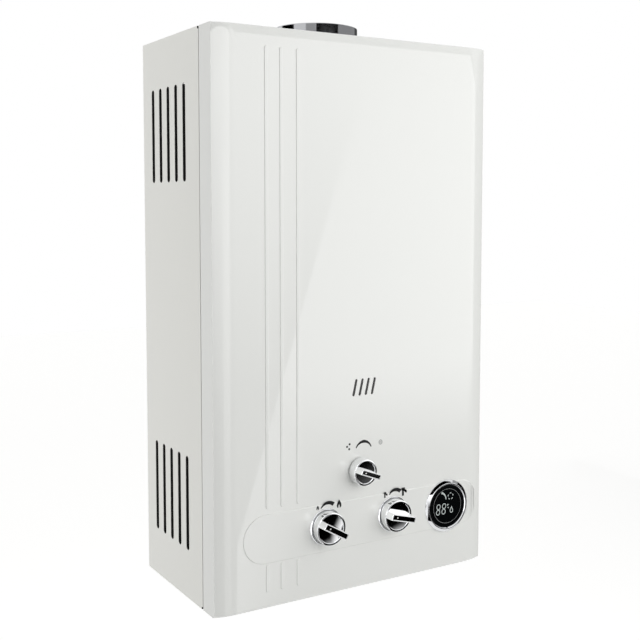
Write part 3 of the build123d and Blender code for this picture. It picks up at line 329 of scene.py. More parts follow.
def dustGroup():
    # faint dust on what faces up, broken by noise
    group, inner, outer = newGroup(
        "lightDust",
        [("Color", "NodeSocketColor", (0.8, 0.8, 0.8, 1)),
         ("Dust", "NodeSocketColor", (0.7, 0.68, 0.64, 1)), ("Amount", "NodeSocketFloat", 0.15)],
        [("Color", "NodeSocketColor"), ("Mask", "NodeSocketFloat")])
    facing = addNode(group, "NewGeometry").outputs["Normal"]
    up = addNode(group, "SeparateXYZ", Vector=facing).outputs["Z"]
    patch = addNode(group, "TexNoise", Vector=ownPlace(group), Scale=35.0, Detail=5.0)
    broken = maths(group, "MULTIPLY", ramp(group, up, 0.4, 1.0), patch.outputs[0])
    amount = addNode(group, "Math", {"operation": "MULTIPLY", "use_clamp": True}, i0=broken,
                     i1=inner.outputs["Amount"])
    mixed = addNode(group, "Mix", {"data_type": "RGBA"}, Factor=amount.outputs[0],
                    i6=inner.outputs["Color"], i7=inner.outputs["Dust"])
    group.links.new(mixed.outputs[2], outer.inputs["Color"])
    group.links.new(amount.outputs[0], outer.inputs["Mask"])
    return group


grainGroup = surfaceGrainGroup()
dustLayer = dustGroup()


# Finishes: one entry for each material slot

def hexTone(text):
    parts = [int(text[i:i + 2], 16) / 255 for i in (0, 2, 4)]
    return tuple(c / 12.92 if c <= 0.04045 else ((c + 0.055) / 1.055) ** 2.4 for c in parts) + (1,)


finishes = {
    # spread is the swing of the roughness and swing that of the tone; the rest is in makeFinish
    "casing_enamel": dict(tone="ecece7", rough=0.38, swing=0.02, cloud=6, grain=420, coat=0.25,
                          coatRough=0.2, dust=0.12),
    # painted shade: near-black for the inside of the casing, its louvre lips and the rim in the seam, where
    # the real sheet is the same enamel lying in shade
    "casing_inside": dict(tone="0e0e0f", rough=0.6, spread=0.15, swing=0.15, cloud=12, grain=300,
                          height=0.05, dust=0.2),
    "cover_enamel": dict(tone="f3f4f1", rough=0.3, spread=0.06, swing=0.012, cloud=4, grain=260,
                         height=0.008, coat=1.0, coatRough=0.012, coatIor=1.65, specular=0.2, dust=0.05),
    "screw_steel": dict(tone="b9babb", metal=1, rough=0.34, spread=0.2, swing=0.15, cloud=120, grain=900,
                        height=0.05, dust=0.1),
    "sight_glass": dict(tone="100d0a", rough=0.08, spread=0.05, swing=0.1, cloud=40, height=0.005,
                        coat=0.6, coatRough=0.02),
    "flue_steel": dict(tone="bcbdc0", metal=1, rough=0.07, spread=0.03, grain=700, height=0.01,
                       stretch=(1, 1, 0.15), dust=0.1),
    "galvanised": dict(tone="a9adb0", metal=1, rough=0.42, spread=0.25, swing=0.35, cloud=55, grain=300,
                       height=0.03, dust=0.3),
    "copper": dict(tone="b8734d", metal=1, rough=0.36, spread=0.25, swing=0.35, cloud=14, grain=400,
                   height=0.04, dust=0.2),
    "brass": dict(tone="c7a55e", metal=1, rough=0.33, spread=0.2, swing=0.25, cloud=30, height=0.06,
                  dust=0.2),
    "stainless": dict(tone="b4b4b2", metal=1, rough=0.3, spread=0.15, swing=0.12, cloud=25, grain=350,
                      height=0.04, stretch=(0.05, 1, 1), dust=0.15),
    "ceramic": dict(tone="e9e4d8", rough=0.5, swing=0.06, cloud=80, grain=900, height=0.03),
    "die_cast": dict(tone="9b9c9c", metal=1, rough=0.55, spread=0.2, swing=0.2, cloud=40, grain=900,
                     height=0.25, dust=0.25),
    "knob_chrome": dict(tone="f4f5f6", metal=1, rough=0.045, spread=0.04, swing=0.02, cloud=60,
                        height=0.004),
    "bezel_chrome": dict(tone="eeeff1", metal=1, rough=0.06, spread=0.04, swing=0.03, cloud=60,
                         height=0.004),
    "display_chrome": dict(tone="dedfe1", metal=1, rough=0.04, spread=0.03, swing=0.02, cloud=60,
                           height=0.003),
    "display_black": dict(tone="07090a", rough=0.12, spread=0.04, swing=0.3, cloud=30, grain=300,
                          height=0.003, coat=0.5, coatRough=0.02),
    "rubber": dict(tone="1c1c1c", rough=0.75, spread=0.15, swing=0.2, cloud=60, grain=1200, height=0.15,
                   dust=0.3),
    "black_plastic": dict(tone="161617", rough=0.45, swing=0.15, cloud=40, grain=1500, height=0.12,
                          dust=0.2),
    "grey_plastic": dict(tone="8d8f90", rough=0.48, swing=0.08, cloud=40, grain=1500, height=0.12,
                         dust=0.2),
    "board_green": dict(tone="1f5a35", rough=0.35, swing=0.2, cloud=120, grain=700, height=0.05),
    "cell_wrap": dict(tone="4a4d52", rough=0.3, swing=0.1, cloud=50, grain=900),
    "printed_black": dict(tone="111112", swing=0.15, cloud=90, grain=900),
    "printed_grey": dict(tone="8a8b8b", swing=0.1, cloud=90, grain=900),
    "lit_sign": dict(tone="c3cbc9", swing=0.12, cloud=200, grain=900, height=0.01),
    "knob_index": dict(tone="f2f2ef", rough=0.35, cloud=90, grain=900),
}


def makeFinish(name, tone, metal=0, rough=0.4, spread=0.1, swing=0.05, cloud=20, grain=500, height=0.02,
               coat=0, coatRough=0.05, coatIor=1.5, specular=0.5, stretch=(1, 1, 1), dust=0):
    material = bpy.data.materials.new(name)
    material.use_nodes = True
    tree = material.node_tree
    shader = tree.nodes["Principled BSDF"]
    texture = addNode(tree, "Group", {"node_tree": grainGroup}, Base=hexTone(tone), Tone=swing, Rough=rough,
                      Stretch=stretch, **{"Cloud Scale": cloud, "Grain Scale": grain,
                                          "Rough Spread": spread})
    colour = texture.outputs["Color"]
    if dust:
        layer = addNode(tree, "Group", {"node_tree": dustLayer}, Color=colour, Amount=dust)
        colour = layer.outputs["Color"]
    bump = addNode(tree, "Bump", Height=texture.outputs["Height"], Strength=1.0, Distance=height * mm)
    tree.links.new(colour, shader.inputs["Base Color"])
    tree.links.new(texture.outputs["Roughness"], shader.inputs["Roughness"])
    tree.links.new(bump.outputs[0], shader.inputs["Normal"])
    plain = {"Metallic": metal, "Coat Weight": coat, "Coat Roughness": coatRough, "Coat IOR": coatIor,
             "Specular IOR Level": specular}
    for socket, value in plain.items():
        shader.inputs[socket].default_value = value
    return material


materials = {name: makeFinish(name, **look) for name, look in finishes.items()}
slotOf = {part["node"]: part["material_slot"] for part in frame["record"]["subparts"]}
for node, slotName in slotOf.items():
    for slot in frame["nodes"][node].material_slots:
        slot.link = "OBJECT"
        slot.material = materials[slotName]
print("finishes ready:", len(materials))


def finishPiece(piece, body, slot, *replaced, angle=30, look=None):
    piece.data.materials.clear()
    piece.data.materials.append(materials[look or slot])
    takeUp(piece)
    bpy.ops.object.shade_smooth_by_angle(angle=radians(angle))
    applyModifier(piece, "WEIGHTED_NORMAL", keep_sharp=True, weight=100)
    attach(piece, body)
    if replaced:
        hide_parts(*replaced)
    clearSelection()
    return piece


# Front cover

cover = dict(width=428, height=740, front=-228, back=-189.4, flat=368, drop=5.7, edge=2, footEdge=5,
             sheet=1.0, columns=8, corner=0.5, holes=((0, 162, 11), (-54, 94, 11), (54, 94, 11),
                                                      (148, 90.5, 32.6)))
fixing = dict(places=(-150, 150), depth=-193.7, hole=2.1)
ribs = dict(places=(-141, -119.5, -95.5), width=4.6, height=1.0, shoulder=0.75, upper=(131, 716),
            lower=(22, 58))
band = dict(left=-176, right=205, middle=92, width=64, height=1.2, shoulder=1.1)
bandFace = cover["front"] - band["height"]
flameSlots = dict(count=4, pitch=9.9, middle=(7.1, 275.2), length=23.5, width=3.9, lean=13)
louvres = dict(count=5, pitch=26, middle=-90, width=9.2, groups=((65, 191), (549, 675)), lip=3.5)


def bowDrop(x):  # how far the front falls back at a place across it
    reach = cover["width"] / 2 - cover["flat"] / 2
    radius = (reach ** 2 + cover["drop"] ** 2) / (2 * cover["drop"])
    out = max(0, abs(x) - cover["flat"] / 2)
    return radius - sqrt(radius ** 2 - out ** 2)


def bowedBlock(name, front, back, low, high, half):
    # a block whose front is cut into columns at both sides, each pushed back along the bow
    block = addBlock(name, (-half, front, low), (half, back, high))
    flat, count = cover["flat"] / 2, cover["columns"]
    for side in (-1, 1):
        for number in range(count):
            x = side * (flat + (half - flat) * number / count)
            pick(block, "FACE", lambda c, n: True)
            bpy.ops.mesh.bisect(plane_co=(x * mm, 0, 0), plane_no=(1, 0, 0))
            letGo()
    columns = sorted({round(v.co.x / mm, 3) for v in block.data.vertices})
    for x in columns:
        if abs(x) > flat + 0.01:
            slidePoints(block, lambda p: abs(p.x - x) < 0.01 and abs(p.y - front) < 0.01, y=bowDrop(x))
    return block


def stadium(name, start, end, width, y0, y1, sides=32):
    # slot-shaped prism along Y: a round whose halves are drawn apart towards two points
    (x0, z0), (x1, z1) = start, end
    length = hypot(x1 - x0, z1 - z0)
    piece = addRound(name, (0, y0, 0), (0, y1, 0), width / 2, sides)
    slidePoints(piece, lambda p: p.z > 0.0001, z=length)
    putAt(piece, (x0, 0, z0), (0, atan2(x1 - x0, z1 - z0), 0))
    return piece


def makeCover():
    half, front = cover["width"] / 2, cover["front"]
    shell = bowedBlock("frontCover", front, cover["back"], 0, cover["height"], half)
    lowest = front + cover["drop"] + 0.05
    for level, edge in ((0, cover["footEdge"]), (cover["height"], cover["edge"])):
        bevelEdges(shell, edge, 4, bothEnds(lambda p: abs(p.z - level) < 0.01 and p.y < lowest))
    atSide = bothEnds(lambda p: abs(abs(p.x) - half) < 0.01 and p.y < lowest)
    bevelEdges(shell, cover["corner"], 2, lambda a, b: atSide(a, b) and abs(a.z - b.z) > 100)
    dropFaces(shell, lambda c, n: n.y > 0.9 and abs(c.y - cover["back"]) < 0.01)
    mergeDoubles(shell)
    thicken(shell, cover["sheet"])
    return shell


def makeRibs():
    surface, top = cover["front"] + 0.5, cover["front"] - ribs["height"]
    reach, place = ribs["width"] / 2, ribs["places"][0]
    made = []
    for low, high in (ribs["upper"], ribs["lower"]):
        first = stadium("rib", (place, low + reach), (place, high - reach), ribs["width"], top, surface, 24)
        bevelEdges(first, ribs["shoulder"], 3, bothEnds(lambda p: abs(p.y - top) < 0.02))
        made.append(first)
        made += [copyOf(first, "rib", x=other - place) for other in ribs["places"][1:]]
    return joinAll("ribs", made)


def makeBand():
    front, top, reach, middle = cover["front"], bandFace, band["width"] / 2, band["middle"]
    level = bowedBlock("bandLevel", top, front + 20, -5, cover["height"] + 5, cover["width"] / 2)
    ends = ((band["left"] + reach, middle), (band["right"] - reach, middle))
    slab = stadium("band", *ends, band["width"], top - 0.001 - 3, front + 3, 96)
    combine(slab, level, "INTERSECT")
    rim = top + bowDrop(band["right"]) + 0.1

    def onRim(p):
        x = min(max(p.x, ends[0][0]), ends[1][0])
        return hypot(p.x - x, p.z - middle) > reach - 0.05 and p.y < rim
    atRim = bothEnds(onRim)
    bevelEdges(slab, band["shoulder"], 3, lambda a, b: atRim(a, b) and abs(a.y - b.y) < 0.3)
    mergeDoubles(slab)
    return slab


def makeSlotCuts():  # the slots lean side by side
    (middle, level), pitch = flameSlots["middle"], flameSlots["pitch"]
    x = middle - (flameSlots["count"] - 1) / 2 * pitch
    lean, reach = radians(flameSlots["lean"]), (flameSlots["length"] - flameSlots["width"]) / 2
    out, up = reach * sin(lean), reach * cos(lean)
    first = stadium("slotCut", (x - out, level - up), (x + out, level + up), flameSlots["width"],
                    cover["front"] - 5, cover["front"] + 5, 20)
    others = [copyOf(first, "slotCut", x=number * pitch) for number in range(1, flameSlots["count"])]
    return joinAll("slotCut", [first] + others)


def makeFrontCover():
    shell = makeCover()
    combine(shell, makeRibs(), "UNION")
    combine(shell, makeBand(), "UNION")
    cutOut(shell, makeSlotCuts())
    front, depth = cover["front"], fixing["depth"]
    holes = [((x, front - 10, z), (x, front + 10, z), radius, 48) for x, z, radius in cover["holes"]]
    holes += [((x, depth, z - 6), (x, depth, z + 6), fixing["hole"], 20)
              for x in fixing["places"] for z in (0, cover["height"])]
    boreHoles(shell, holes)
    mergeDoubles(shell, 0.001, outward=False)
    return finishPiece(shell, "heater", "cover_enamel", "front_cover", angle=28)


frontCover = makeFrontCover()
print("front cover:", len(frontCover.data.polygons), "faces")


# Rear casing

casing = dict(front=-187.8, rimFront=-198, rimInset=1.4, sheet=1.0, bend=3.0, notch=3.0,
              flueHole=(-112, 58), portHoles=((-150, 12.4), (-54, 12.4), (66, 12.4), (92, 5)),
              portDepth=-110, wallHoles=((-150, 150), (50, 690), 3.5), boxMargin=(5.6, 6.6))


def makeTray():
    half, height = cover["width"] / 2, cover["height"]
    tray = addBlock("rearCasing", (-half, casing["front"], 0), (half, 0, height))
    bevelEdges(tray, casing["bend"], 6, lambda a, b: a.y > -0.01 and b.y > -0.01 and abs(a.z - b.z) > 100)
    dropFaces(tray, lambda c, n: n.y < -0.9)
    thicken(tray, casing["sheet"])

    def inset(name, gap, y0, y1):
        return addBlock(name, (-half + gap, y0, gap), (half - gap, y1, height - gap))
    front = casing["front"]
    rim = inset("rim", casing["rimInset"], casing["rimFront"], front + 1)
    dropFaces(rim, lambda c, n: abs(n.y) > 0.9)
    thicken(rim, casing["sheet"])
    web = inset("web", 0.2, front, front + 1)
    cutOut(web, inset("hollow", 2, front - 1, front + 2))
    combine(tray, rim, "UNION")
    combine(tray, web, "UNION")
    return tray


def louvreSteps():  # how far each louvre stands from the first, in depth and in height
    lowest = louvres["groups"][0][0]
    return [(number * louvres["pitch"], low - lowest)
            for low, _ in louvres["groups"] for number in range(louvres["count"])]


def firstLouvre():  # its depth and the levels of its ends
    return (louvres["middle"] - (louvres["count"] - 1) / 2 * louvres["pitch"], *louvres["groups"][0])


def makeLouvreCuts():
    half, reach = cover["width"] / 2 + 3, louvres["width"] / 2
    depth, low, high = firstLouvre()
    first = addRound("louvreCut", (-half, 0, 0), (half, 0, 0), reach, 24)
    slidePoints(first, lambda p: p.z > 0.0001, z=high - low - 2 * reach)
    putAt(first, (0, depth, low + reach))
    others = [copyOf(first, "louvreCut", y=y, z=z) for y, z in louvreSteps()[1:]]
    return joinAll("louvreCuts", [first] + others)


def makeLouvreLips():
    half, sheet = cover["width"] / 2, casing["sheet"]
    inner, outer = -half + sheet + louvres["lip"], -half + 0.5
    depth, low, high = firstLouvre()
    depth += louvres["width"] / 2
    first = addBlock("louvreLip", (outer, depth, low + 1), (inner, depth + sheet, high - 1))
    bevelEdges(first, 0.4, 3, lambda a, b: abs(a.z - b.z) > 50 and a.x > inner - 0.01)
    made = []
    for y, z in louvreSteps():
        left = copyOf(first, "louvreLip", y=y, z=z)
        right = copyOf(left, "louvreLip")
        putAt(right, (0, 0, 0), size=(-1, 1, 1))
        mergeDoubles(right)
        made += [left, right]
    bpy.data.objects.remove(first, do_unlink=True)
    return joinAll("louvreLips", made)


def makeRearCasing():
    tray = makeTray()
    half, height = cover["width"] / 2, cover["height"]
    cutOut(tray, makeLouvreCuts())
    combine(tray, makeLouvreLips(), "UNION")
    front, notch = casing["front"], casing["notch"]
    for x in (-half, half - notch):
        for z in (0, height - notch):
            cutOut(tray, addBlock("notch", (x - 0.5, front - 1, z - 0.5),
                                  (x + notch + 0.5, front + notch, z + notch + 0.5)))
    depth, radius = casing["flueHole"]
    holes = [((0, depth, height - 3), (0, depth, height + 3), radius, 96)]
    depth = casing["portDepth"]
    holes += [((x, depth, -3), (x, depth, 3), radius, 48) for x, radius in casing["portHoles"]]
    places, levels, radius = casing["wallHoles"]
    holes += [((x, -3, z), (x, 3, z), radius, 36) for x in places for z in levels]
    boreHoles(tray, holes)
    low, high = (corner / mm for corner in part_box("battery_box"))
    wide, deep = casing["boxMargin"]
    cutOut(tray, addBlock("hole", (low.x + wide, low.y + deep, -3), (high.x - wide, high.y - deep, 3)))
    mergeDoubles(tray, 0.001, outward=False)
    finishPiece(tray, "heater", "casing_enamel", "rear_casing", "casing_floor", angle=28)
    # a second, near-black finish that paints the shade inside the casing and in the seam
    tray.data.materials.append(materials["casing_inside"])
    skin = 0.9 * casing["sheet"]
    for face in tray.data.polygons:  # painted shade: the inside, the louvre lips and the rim in the seam take the near-black finish
        x, y, z = face.center / mm
        within = abs(x) < half - skin / 2 and skin < z < height - skin and front + skin < y < -skin
        face.material_index = int(within or y < front - 0.1)
    return tray


rearCasing = makeRearCasing()
print("rear casing:", len(rearCasing.data.polygons), "faces")


# Flue collar

collar = dict(radius=59, wall=1.0, flange=74, low=740, high=764.5, depth=-112, screwRound=66.5)


def makeFlueCollar():
    outer, low, high = collar["radius"], collar["low"], collar["high"]
    inner = outer - collar["wall"]
    profile = [(inner, low), (collar["flange"] - 0.3, low), (collar["flange"], low + 0.3),
               (collar["flange"], low + 0.8), (collar["flange"] - 0.3, low + 1), (outer + 1.6, low + 1),
               (outer + 0.7, low + 1.3), (outer + 0.2, low + 2), (outer, low + 3), (outer, high - 1.2),
               (outer - 0.15, high - 0.5), (outer - 0.6, high - 0.1), (inner, high),
               (inner - 0.6, high - 0.2), (inner - 1, high - 0.8), (inner - 1, high - 1.5),
               (inner - 0.5, high - 2.1), (inner, high - 2.4), (inner, low)]
    tube = turnedPiece("flueCollar", profile, 144, (0, collar["depth"], 0))
    return finishPiece(tube, "heater", "flue_steel", "flue_collar", angle=40)


makeFlueCollar()
print("flue collar ready")


# Knobs

knobShape = dict(height=13.9, rim=3.2, recess=1.0, skirtRound=0.8, bevel=1.2, gripShare=0.42,
                 gripHeight=13, gripStart=10.5, gripBevel=1.1, gripInset=(0.45, 0.18), taper=2.4,
                 bore=4.05, boreDepth=10, gap=0.6, indexShare=-0.5, indexRadius=0.95, indexHeight=0.66)
knobList = {
    "season": dict(place=(0, 162), radius=18, rest=21, dish=0.12, node="season_knob",
                   body="season_control"),
    "gas": dict(place=(-54, 94), radius=22, rest=30, dish=0.8, node="gas_knob", body="gas_control"),
    "water": dict(place=(54, 94), radius=22, rest=15, dish=0.8, node="water_knob", body="water_control"),
}


def makeGrip(radius):
    # modelled on the origin with its height along +Z, and cut to the round of the knob
    top, width = knobShape["height"] + knobShape["gripHeight"], knobShape["gripShare"] * radius
    taper, (inset, fall) = knobShape["taper"], knobShape["gripInset"]
    grip = addBlock("grip", (-radius - 1, -width / 2, knobShape["gripStart"]), (radius + 1, width / 2, top))
    envelope = turnedPiece("gripRound", [(0, 10), (radius - taper * 10 / top, 10),
                                         (radius - taper - 0.1, top + 1), (0, top + 1)], 128)
    combine(grip, envelope, "INTERSECT")
    bevelRound(grip, knobShape["gripBevel"], 4, lambda c, n: n.z > 0.9 and c.z > top - 0.1)
    pick(grip, "FACE", lambda c, n: n.z > 0.999 and c.z > top - 0.05)
    bpy.ops.mesh.inset(thickness=inset * mm, depth=0)
    slideSelected(z=-fall)
    letGo()
    return grip


def makeKnob(kind):
    knob = knobList[kind]
    radius, height = knob["radius"], knobShape["height"]
    face, floorLevel = radius - knobShape["rim"], height - knobShape["recess"]
    foot, bevel, bore, deep = (knobShape[key] for key in ("skirtRound", "bevel", "bore", "boreDepth"))
    profile = [(0, deep), (bore, deep), (bore, 0), (radius - foot, 0), (radius - 0.25, 0.25),
               (radius, foot), (radius, height - bevel), (radius - 0.12, height - 0.7),
               (radius - 0.4, height - 0.3), (radius - bevel, height), (face + 0.5, height),
               (face + 0.12, height - 0.12), (face, height - 0.5), (face - 0.15, floorLevel)]
    for share in (0.92, 0.82, 0.7, 0.56, 0.4, 0.2, 0):
        profile.append((share * (face - 0.15), floorLevel - knob["dish"] * (1 - share ** 2)))
    body = turnedPiece(kind + "Knob", profile, 128)
    combine(body, makeGrip(radius), "UNION")
    putAt(body, (0, 0, 0), (0, 0, radians(-knob["rest"])))
    x, z = knob["place"]
    putAt(body, (x, bandFace - knobShape["gap"], z), (radians(90), 0, 0))
    mergeDoubles(body, 0.001, outward=False)
    return finishPiece(body, knob["body"], "knob_chrome", knob["node"], angle=32)


def makeIndex(kind):  # the small pale dot near the left end of the grip
    knob = knobList[kind]
    top = bandFace - knobShape["gap"] - knobShape["height"] - knobShape["gripHeight"]
    out, turn = knobShape["indexShare"] * knob["radius"], radians(-knob["rest"])
    x, z = knob["place"]
    r, high = knobShape["indexRadius"], knobShape["indexHeight"]
    start = (x + out * cos(turn), top + high, z + out * sin(turn))
    profile = [(0, 0), (r, 0), (r, high - 0.16), (r - 0.2, high - 0.04), (0, high)]
    dot = turnedPiece(kind + "Index", profile, 32, start, True)
    return finishPiece(dot, knob["body"], "knob_chrome", look="knob_index")


for kind in knobList:
    makeKnob(kind)
    makeIndex(kind)

bezelShape = dict(inner=22.7, width=1.8, height=2.0)


def makeKnobBezels():
    inner, high = bezelShape["inner"], bezelShape["height"]
    outer = inner + bezelShape["width"]
    profile = [(inner, 0), (outer, 0), (outer, 0.5), (outer - 0.15, 1.1), (outer - 0.5, 1.65),
               (outer - 0.9, high), (inner + 0.4, high), (inner + 0.15, high - 0.1), (inner, high - 0.4),
               (inner, 0)]
    (x, z), (other, _) = knobList["gas"]["place"], knobList["water"]["place"]
    gasBezel = turnedPiece("gasBezel", profile, 128, (x, bandFace, z), True)
    waterBezel = copyOf(gasBezel, "waterBezel", x=other - x)
    finishPiece(gasBezel, "heater", "bezel_chrome", "knob_bezels", angle=32)
    finishPiece(waterBezel, "heater", "bezel_chrome", angle=32)


makeKnobBezels()
print("knobs ready")


# Display

display = dict(place=(148, 90.5), outer=37.4, height=5.0, lens=30.8, seat=1.5, lensTop=3.5, sleeve=32.3,
               sleeveDepth=4, printedRing=24.4, printedWidth=0.45)


def makeDisplay():
    x, z = display["place"]
    outer, top, lens, high = display["outer"], display["height"], display["lens"], display["lensTop"]
    sleeve, deep, seat = display["sleeve"], -display["sleeveDepth"], display["seat"]
    profile = [(lens - 3, deep), (sleeve, deep), (sleeve, 0), (outer, 0), (outer, 1.5),
               (outer - 0.15, 1.9), (outer - 0.5, 2.4), (outer - 3.6, top - 0.45),
               (outer - 4.1, top - 0.12), (outer - 4.6, top), (lens + 1.3, top), (lens + 0.9, top - 0.15),
               (lens + 0.1, high + 0.15), (lens + 0.1, seat), (lens - 3, seat), (lens - 3, deep)]
    ring = turnedPiece("displayRing", profile, 144, (x, cover["front"], z), True)
    finishPiece(ring, "heater", "display_chrome", "display_bezel", angle=25)
    profile = [(0, seat), (lens, seat), (lens, high - 0.35), (lens - 0.12, high - 0.1),
               (lens - 0.4, high), (0, high)]
    glass = turnedPiece("displayLens", profile, 128, (x, cover["front"], z), True)
    finishPiece(glass, "heater", "display_black", "display_lens", angle=25)
    inner = display["printedRing"]
    outer = inner + display["printedWidth"]
    line = turnedPiece("displayLine", [(inner, 0), (outer, 0), (outer, 0.03), (inner, 0.03), (inner, 0)],
                       128, (x, cover["front"] - high, z), True)
    finishPiece(line, "heater", "display_black", look="printed_grey")


makeDisplay()


# Printed and lit symbols: thin plates whose outlines lie in the plane of the front

def plate(name, outline, y, thickness=0.05):
    clearSelection()
    bpy.ops.mesh.primitive_circle_add(vertices=len(outline), radius=0.001, fill_type="NGON",
                                      rotation=(radians(90), 0, 0))
    piece = newPiece(name)
    for point, (x, z) in zip(piece.data.vertices, outline):
        point.co = (x * mm, y * mm, z * mm)
    pick(piece, "FACE", lambda c, n: True)
    extrudeSelected(y=-thickness)
    letGo()
    mergeDoubles(piece, 0.0001)
    return piece


def bowOutline(centre, radius, start, end, startWidth, middleWidth, endWidth, steps=18):
    # a stroke along an arc, in degrees clockwise from the top, whose width changes on the way
    outer, inner = [], []
    for number in range(steps + 1):
        share = number / steps
        if share < 0.5:
            width = startWidth + (middleWidth - startWidth) * share * 2
        else:
            width = middleWidth + (endWidth - middleWidth) * (share - 0.5) * 2
        angle = radians(start + (end - start) * share)
        for side, reach in ((outer, radius + width / 2), (inner, radius - width / 2)):
            side.append((centre[0] + sin(angle) * reach, centre[1] + cos(angle) * reach))
    return outer + inner[::-1]


def placedOutline(shape, x, z, size):
    return [(x + a * size, z + b * size) for a, b in shape]


def dotOutline(x, z, radius, count=16):
    return [(x + radius * sin(2 * pi * n / count), z + radius * cos(2 * pi * n / count))
            for n in range(count)]


flameShape = [(0, 1.0), (0.24, 0.66), (0.5, 0.25), (0.64, -0.2), (0.64, -0.6), (0.5, -0.95),
              (0.16, -0.95), (0.18, -0.6), (0.1, -0.3), (0, -0.15), (-0.1, -0.3), (-0.18, -0.6),
              (-0.16, -0.95), (-0.5, -0.95), (-0.64, -0.6), (-0.64, -0.2), (-0.46, 0.28), (-0.2, 0.68)]
tapShape = [(-0.75, -1.0), (-0.2, -1.0), (-0.2, 0.1), (0.12, 0.42), (0.42, 0.42), (0.62, 0.2),
            (0.66, -0.35), (0.3, -0.35), (0.24, 0), (0.12, 0.05), (0, 0), (0, 0.1), (-0.05, 0.3),
            (0.1, 0.62), (0.1, 0.95), (-0.85, 0.95), (-0.85, 0.62), (-0.75, 0.3)]
dropShape = [(0, 1.0), (0.28, 0.45), (0.52, -0.05), (0.58, -0.42), (0.42, -0.8), (0, -1.0),
             (-0.42, -0.8), (-0.58, -0.42), (-0.52, -0.05), (-0.28, 0.45)]
angleShape = [(0, 0), (3, 0), (3, -0.9), (1, -0.9), (1, -2.6), (0, -2.6)]
front, onBand, onLens = cover["front"], bandFace, cover["front"] - display["lensTop"]


def fromKnob(kind, x, z):  # symbols keep their place beside their knob
    middle = knobList[kind]["place"]
    return middle[0] + x, middle[1] + z


printed = {
    "seasonBow": (bowOutline(fromKnob("season", 6.3, 25.6), 13.1, -66, 70, 1.4, 4.2, 1.4), front),
    "seasonDotA": (dotOutline(*fromKnob("season", -20.2, 34.5), 1.5), front),
    "seasonDotB": (dotOutline(*fromKnob("season", -16.1, 37.5), 1.5), front),
    "seasonDotC": (dotOutline(*fromKnob("season", -16.7, 30.9), 1.5), front),
    "smallFlame": (placedOutline(flameShape, *fromKnob("gas", -12.6, 27.0), 3.1), onBand),
    "largeFlame": (placedOutline(flameShape, *fromKnob("gas", 20.6, 27.6), 5.5), onBand),
    "gasBow": (bowOutline(fromKnob("gas", 3.4, 18.6), 12.9, -59, 42, 1.4, 4.2, 5.4), onBand),
    "smallTap": (placedOutline(tapShape, *fromKnob("water", -11.2, 27.9), 4.1), onBand),
    "largeTap": (placedOutline(tapShape, *fromKnob("water", 20.2, 28.2), 5.8), onBand),
    "waterBow": (bowOutline(fromKnob("water", 4.6, 21.4), 11.6, -60, 46, 1.4, 4.2, 5.2), onBand),
}
for name, (outline, depth) in printed.items():
    finishPiece(plate(name, outline, depth), "heater", "cover_enamel", look="printed_black")


def thinRing(name, x, z, radius, stroke, y, wide=1.0, tall=1.0, lean=0):
    inner = radius - stroke
    profile = [(inner, 0), (radius, 0), (radius, 0.05), (inner, 0.05), (inner, 0)]
    piece = turnedPiece(name, profile, 48, forward=True)
    putAt(piece, (x, y, z), (0, radians(lean), 0), (wide, 1, tall))
    return piece


for name, radius in (("seasonSun", 3.4), ("seasonSunCore", 1.8)):
    ring = thinRing(name, *fromKnob("season", 34.1, 34.4), radius, 0.8, front, 0.9)
    finishPiece(ring, "heater", "cover_enamel", look="printed_grey")


signs = dict(digits=(136.2, 146.0), rings=((0.5, 94.2), (-0.3, 86.4)), ringSize=(4.1, 1.2),
             spray=(139.5, 103.8), star=(158.1, 107.2), starReach=2.7, dot=(153.9, 91.2),
             angle=(152.2, 96.2), drop=(159.9, 87.6, 5.2), dropHole=(159.9, 87.0, 3.3), shift=(-4.4, -3.2))


def makeSigns():
    made = [thinRing("digit", x + lean, z, *signs["ringSize"], onLens, 0.88, 1.0, 6)
            for x in signs["digits"] for lean, z in signs["rings"]]
    made.append(plate("spray", bowOutline(signs["spray"], 10.3, 12, 92, 3.0, 1.9, 1.3), onLens))
    for turn in range(0, 360, 72):
        (x, z), reach = signs["star"], signs["starReach"]
        centre = (x + reach * sin(radians(turn)), z + reach * cos(radians(turn)))
        outline = bowOutline(centre, 1.9, turn - 50, turn + 50, 0.5, 1.5, 0.5, 10)
        made.append(plate("star", outline, onLens))
    made.append(plate("degree", dotOutline(*signs["dot"], 0.95, 12), onLens))
    made.append(plate("degreeMark", placedOutline(angleShape, *signs["angle"], 1), onLens))
    drop = plate("drop", placedOutline(dropShape, *signs["drop"]), onLens)
    cutOut(drop, plate("dropHole", placedOutline(dropShape, *signs["dropHole"]), onLens + 1, 3))
    everySign = joinAll("displaySigns", made + [drop])
    x, z = signs["shift"]
    putAt(everySign, (x, 0, z))
    return finishPiece(everySign, "heater", "display_black", look="lit_sign")


makeSigns()
print("display and symbols ready")


# Screws, modelled once and copied

screwShape = dict(head=3.6, height=1.8, shank=2.0, length=6.0, thread=0.3, pitch=0.8, cross=3.6,
                  slot=0.9, depth=1.1)


def makeScrew(head, height, shank, length, thread, pitch, cross, slot, depth):
    profile = [(0, -length), (shank - 0.6, -length), (shank, -length + 0.8)]
    level = -length + 1.2
    while level < -0.6:
        profile += [(shank - thread, level), (shank, level + 0.4)]
        level += pitch
    profile += [(shank, 0), (head, 0), (head, 0.25), (head - 0.25, 0.9), (head - 1.0, 1.5),
                (head - 2.1, height), (0, height)]
    screw = turnedPiece("screw", profile, 28)
    bottom = height - depth
    for wide, tall in ((cross, slot), (slot, cross)):
        arm = addBlock("arm", (-wide / 2, -tall / 2, bottom), (wide / 2, tall / 2, 4))
        pick(arm, "FACE", lambda c, n: n.z < -0.9)
        bpy.ops.transform.resize(value=(0.7, 0.7, 1), center_override=(0, 0, bottom * mm))
        letGo()
        cutOut(screw, arm)
    return screw


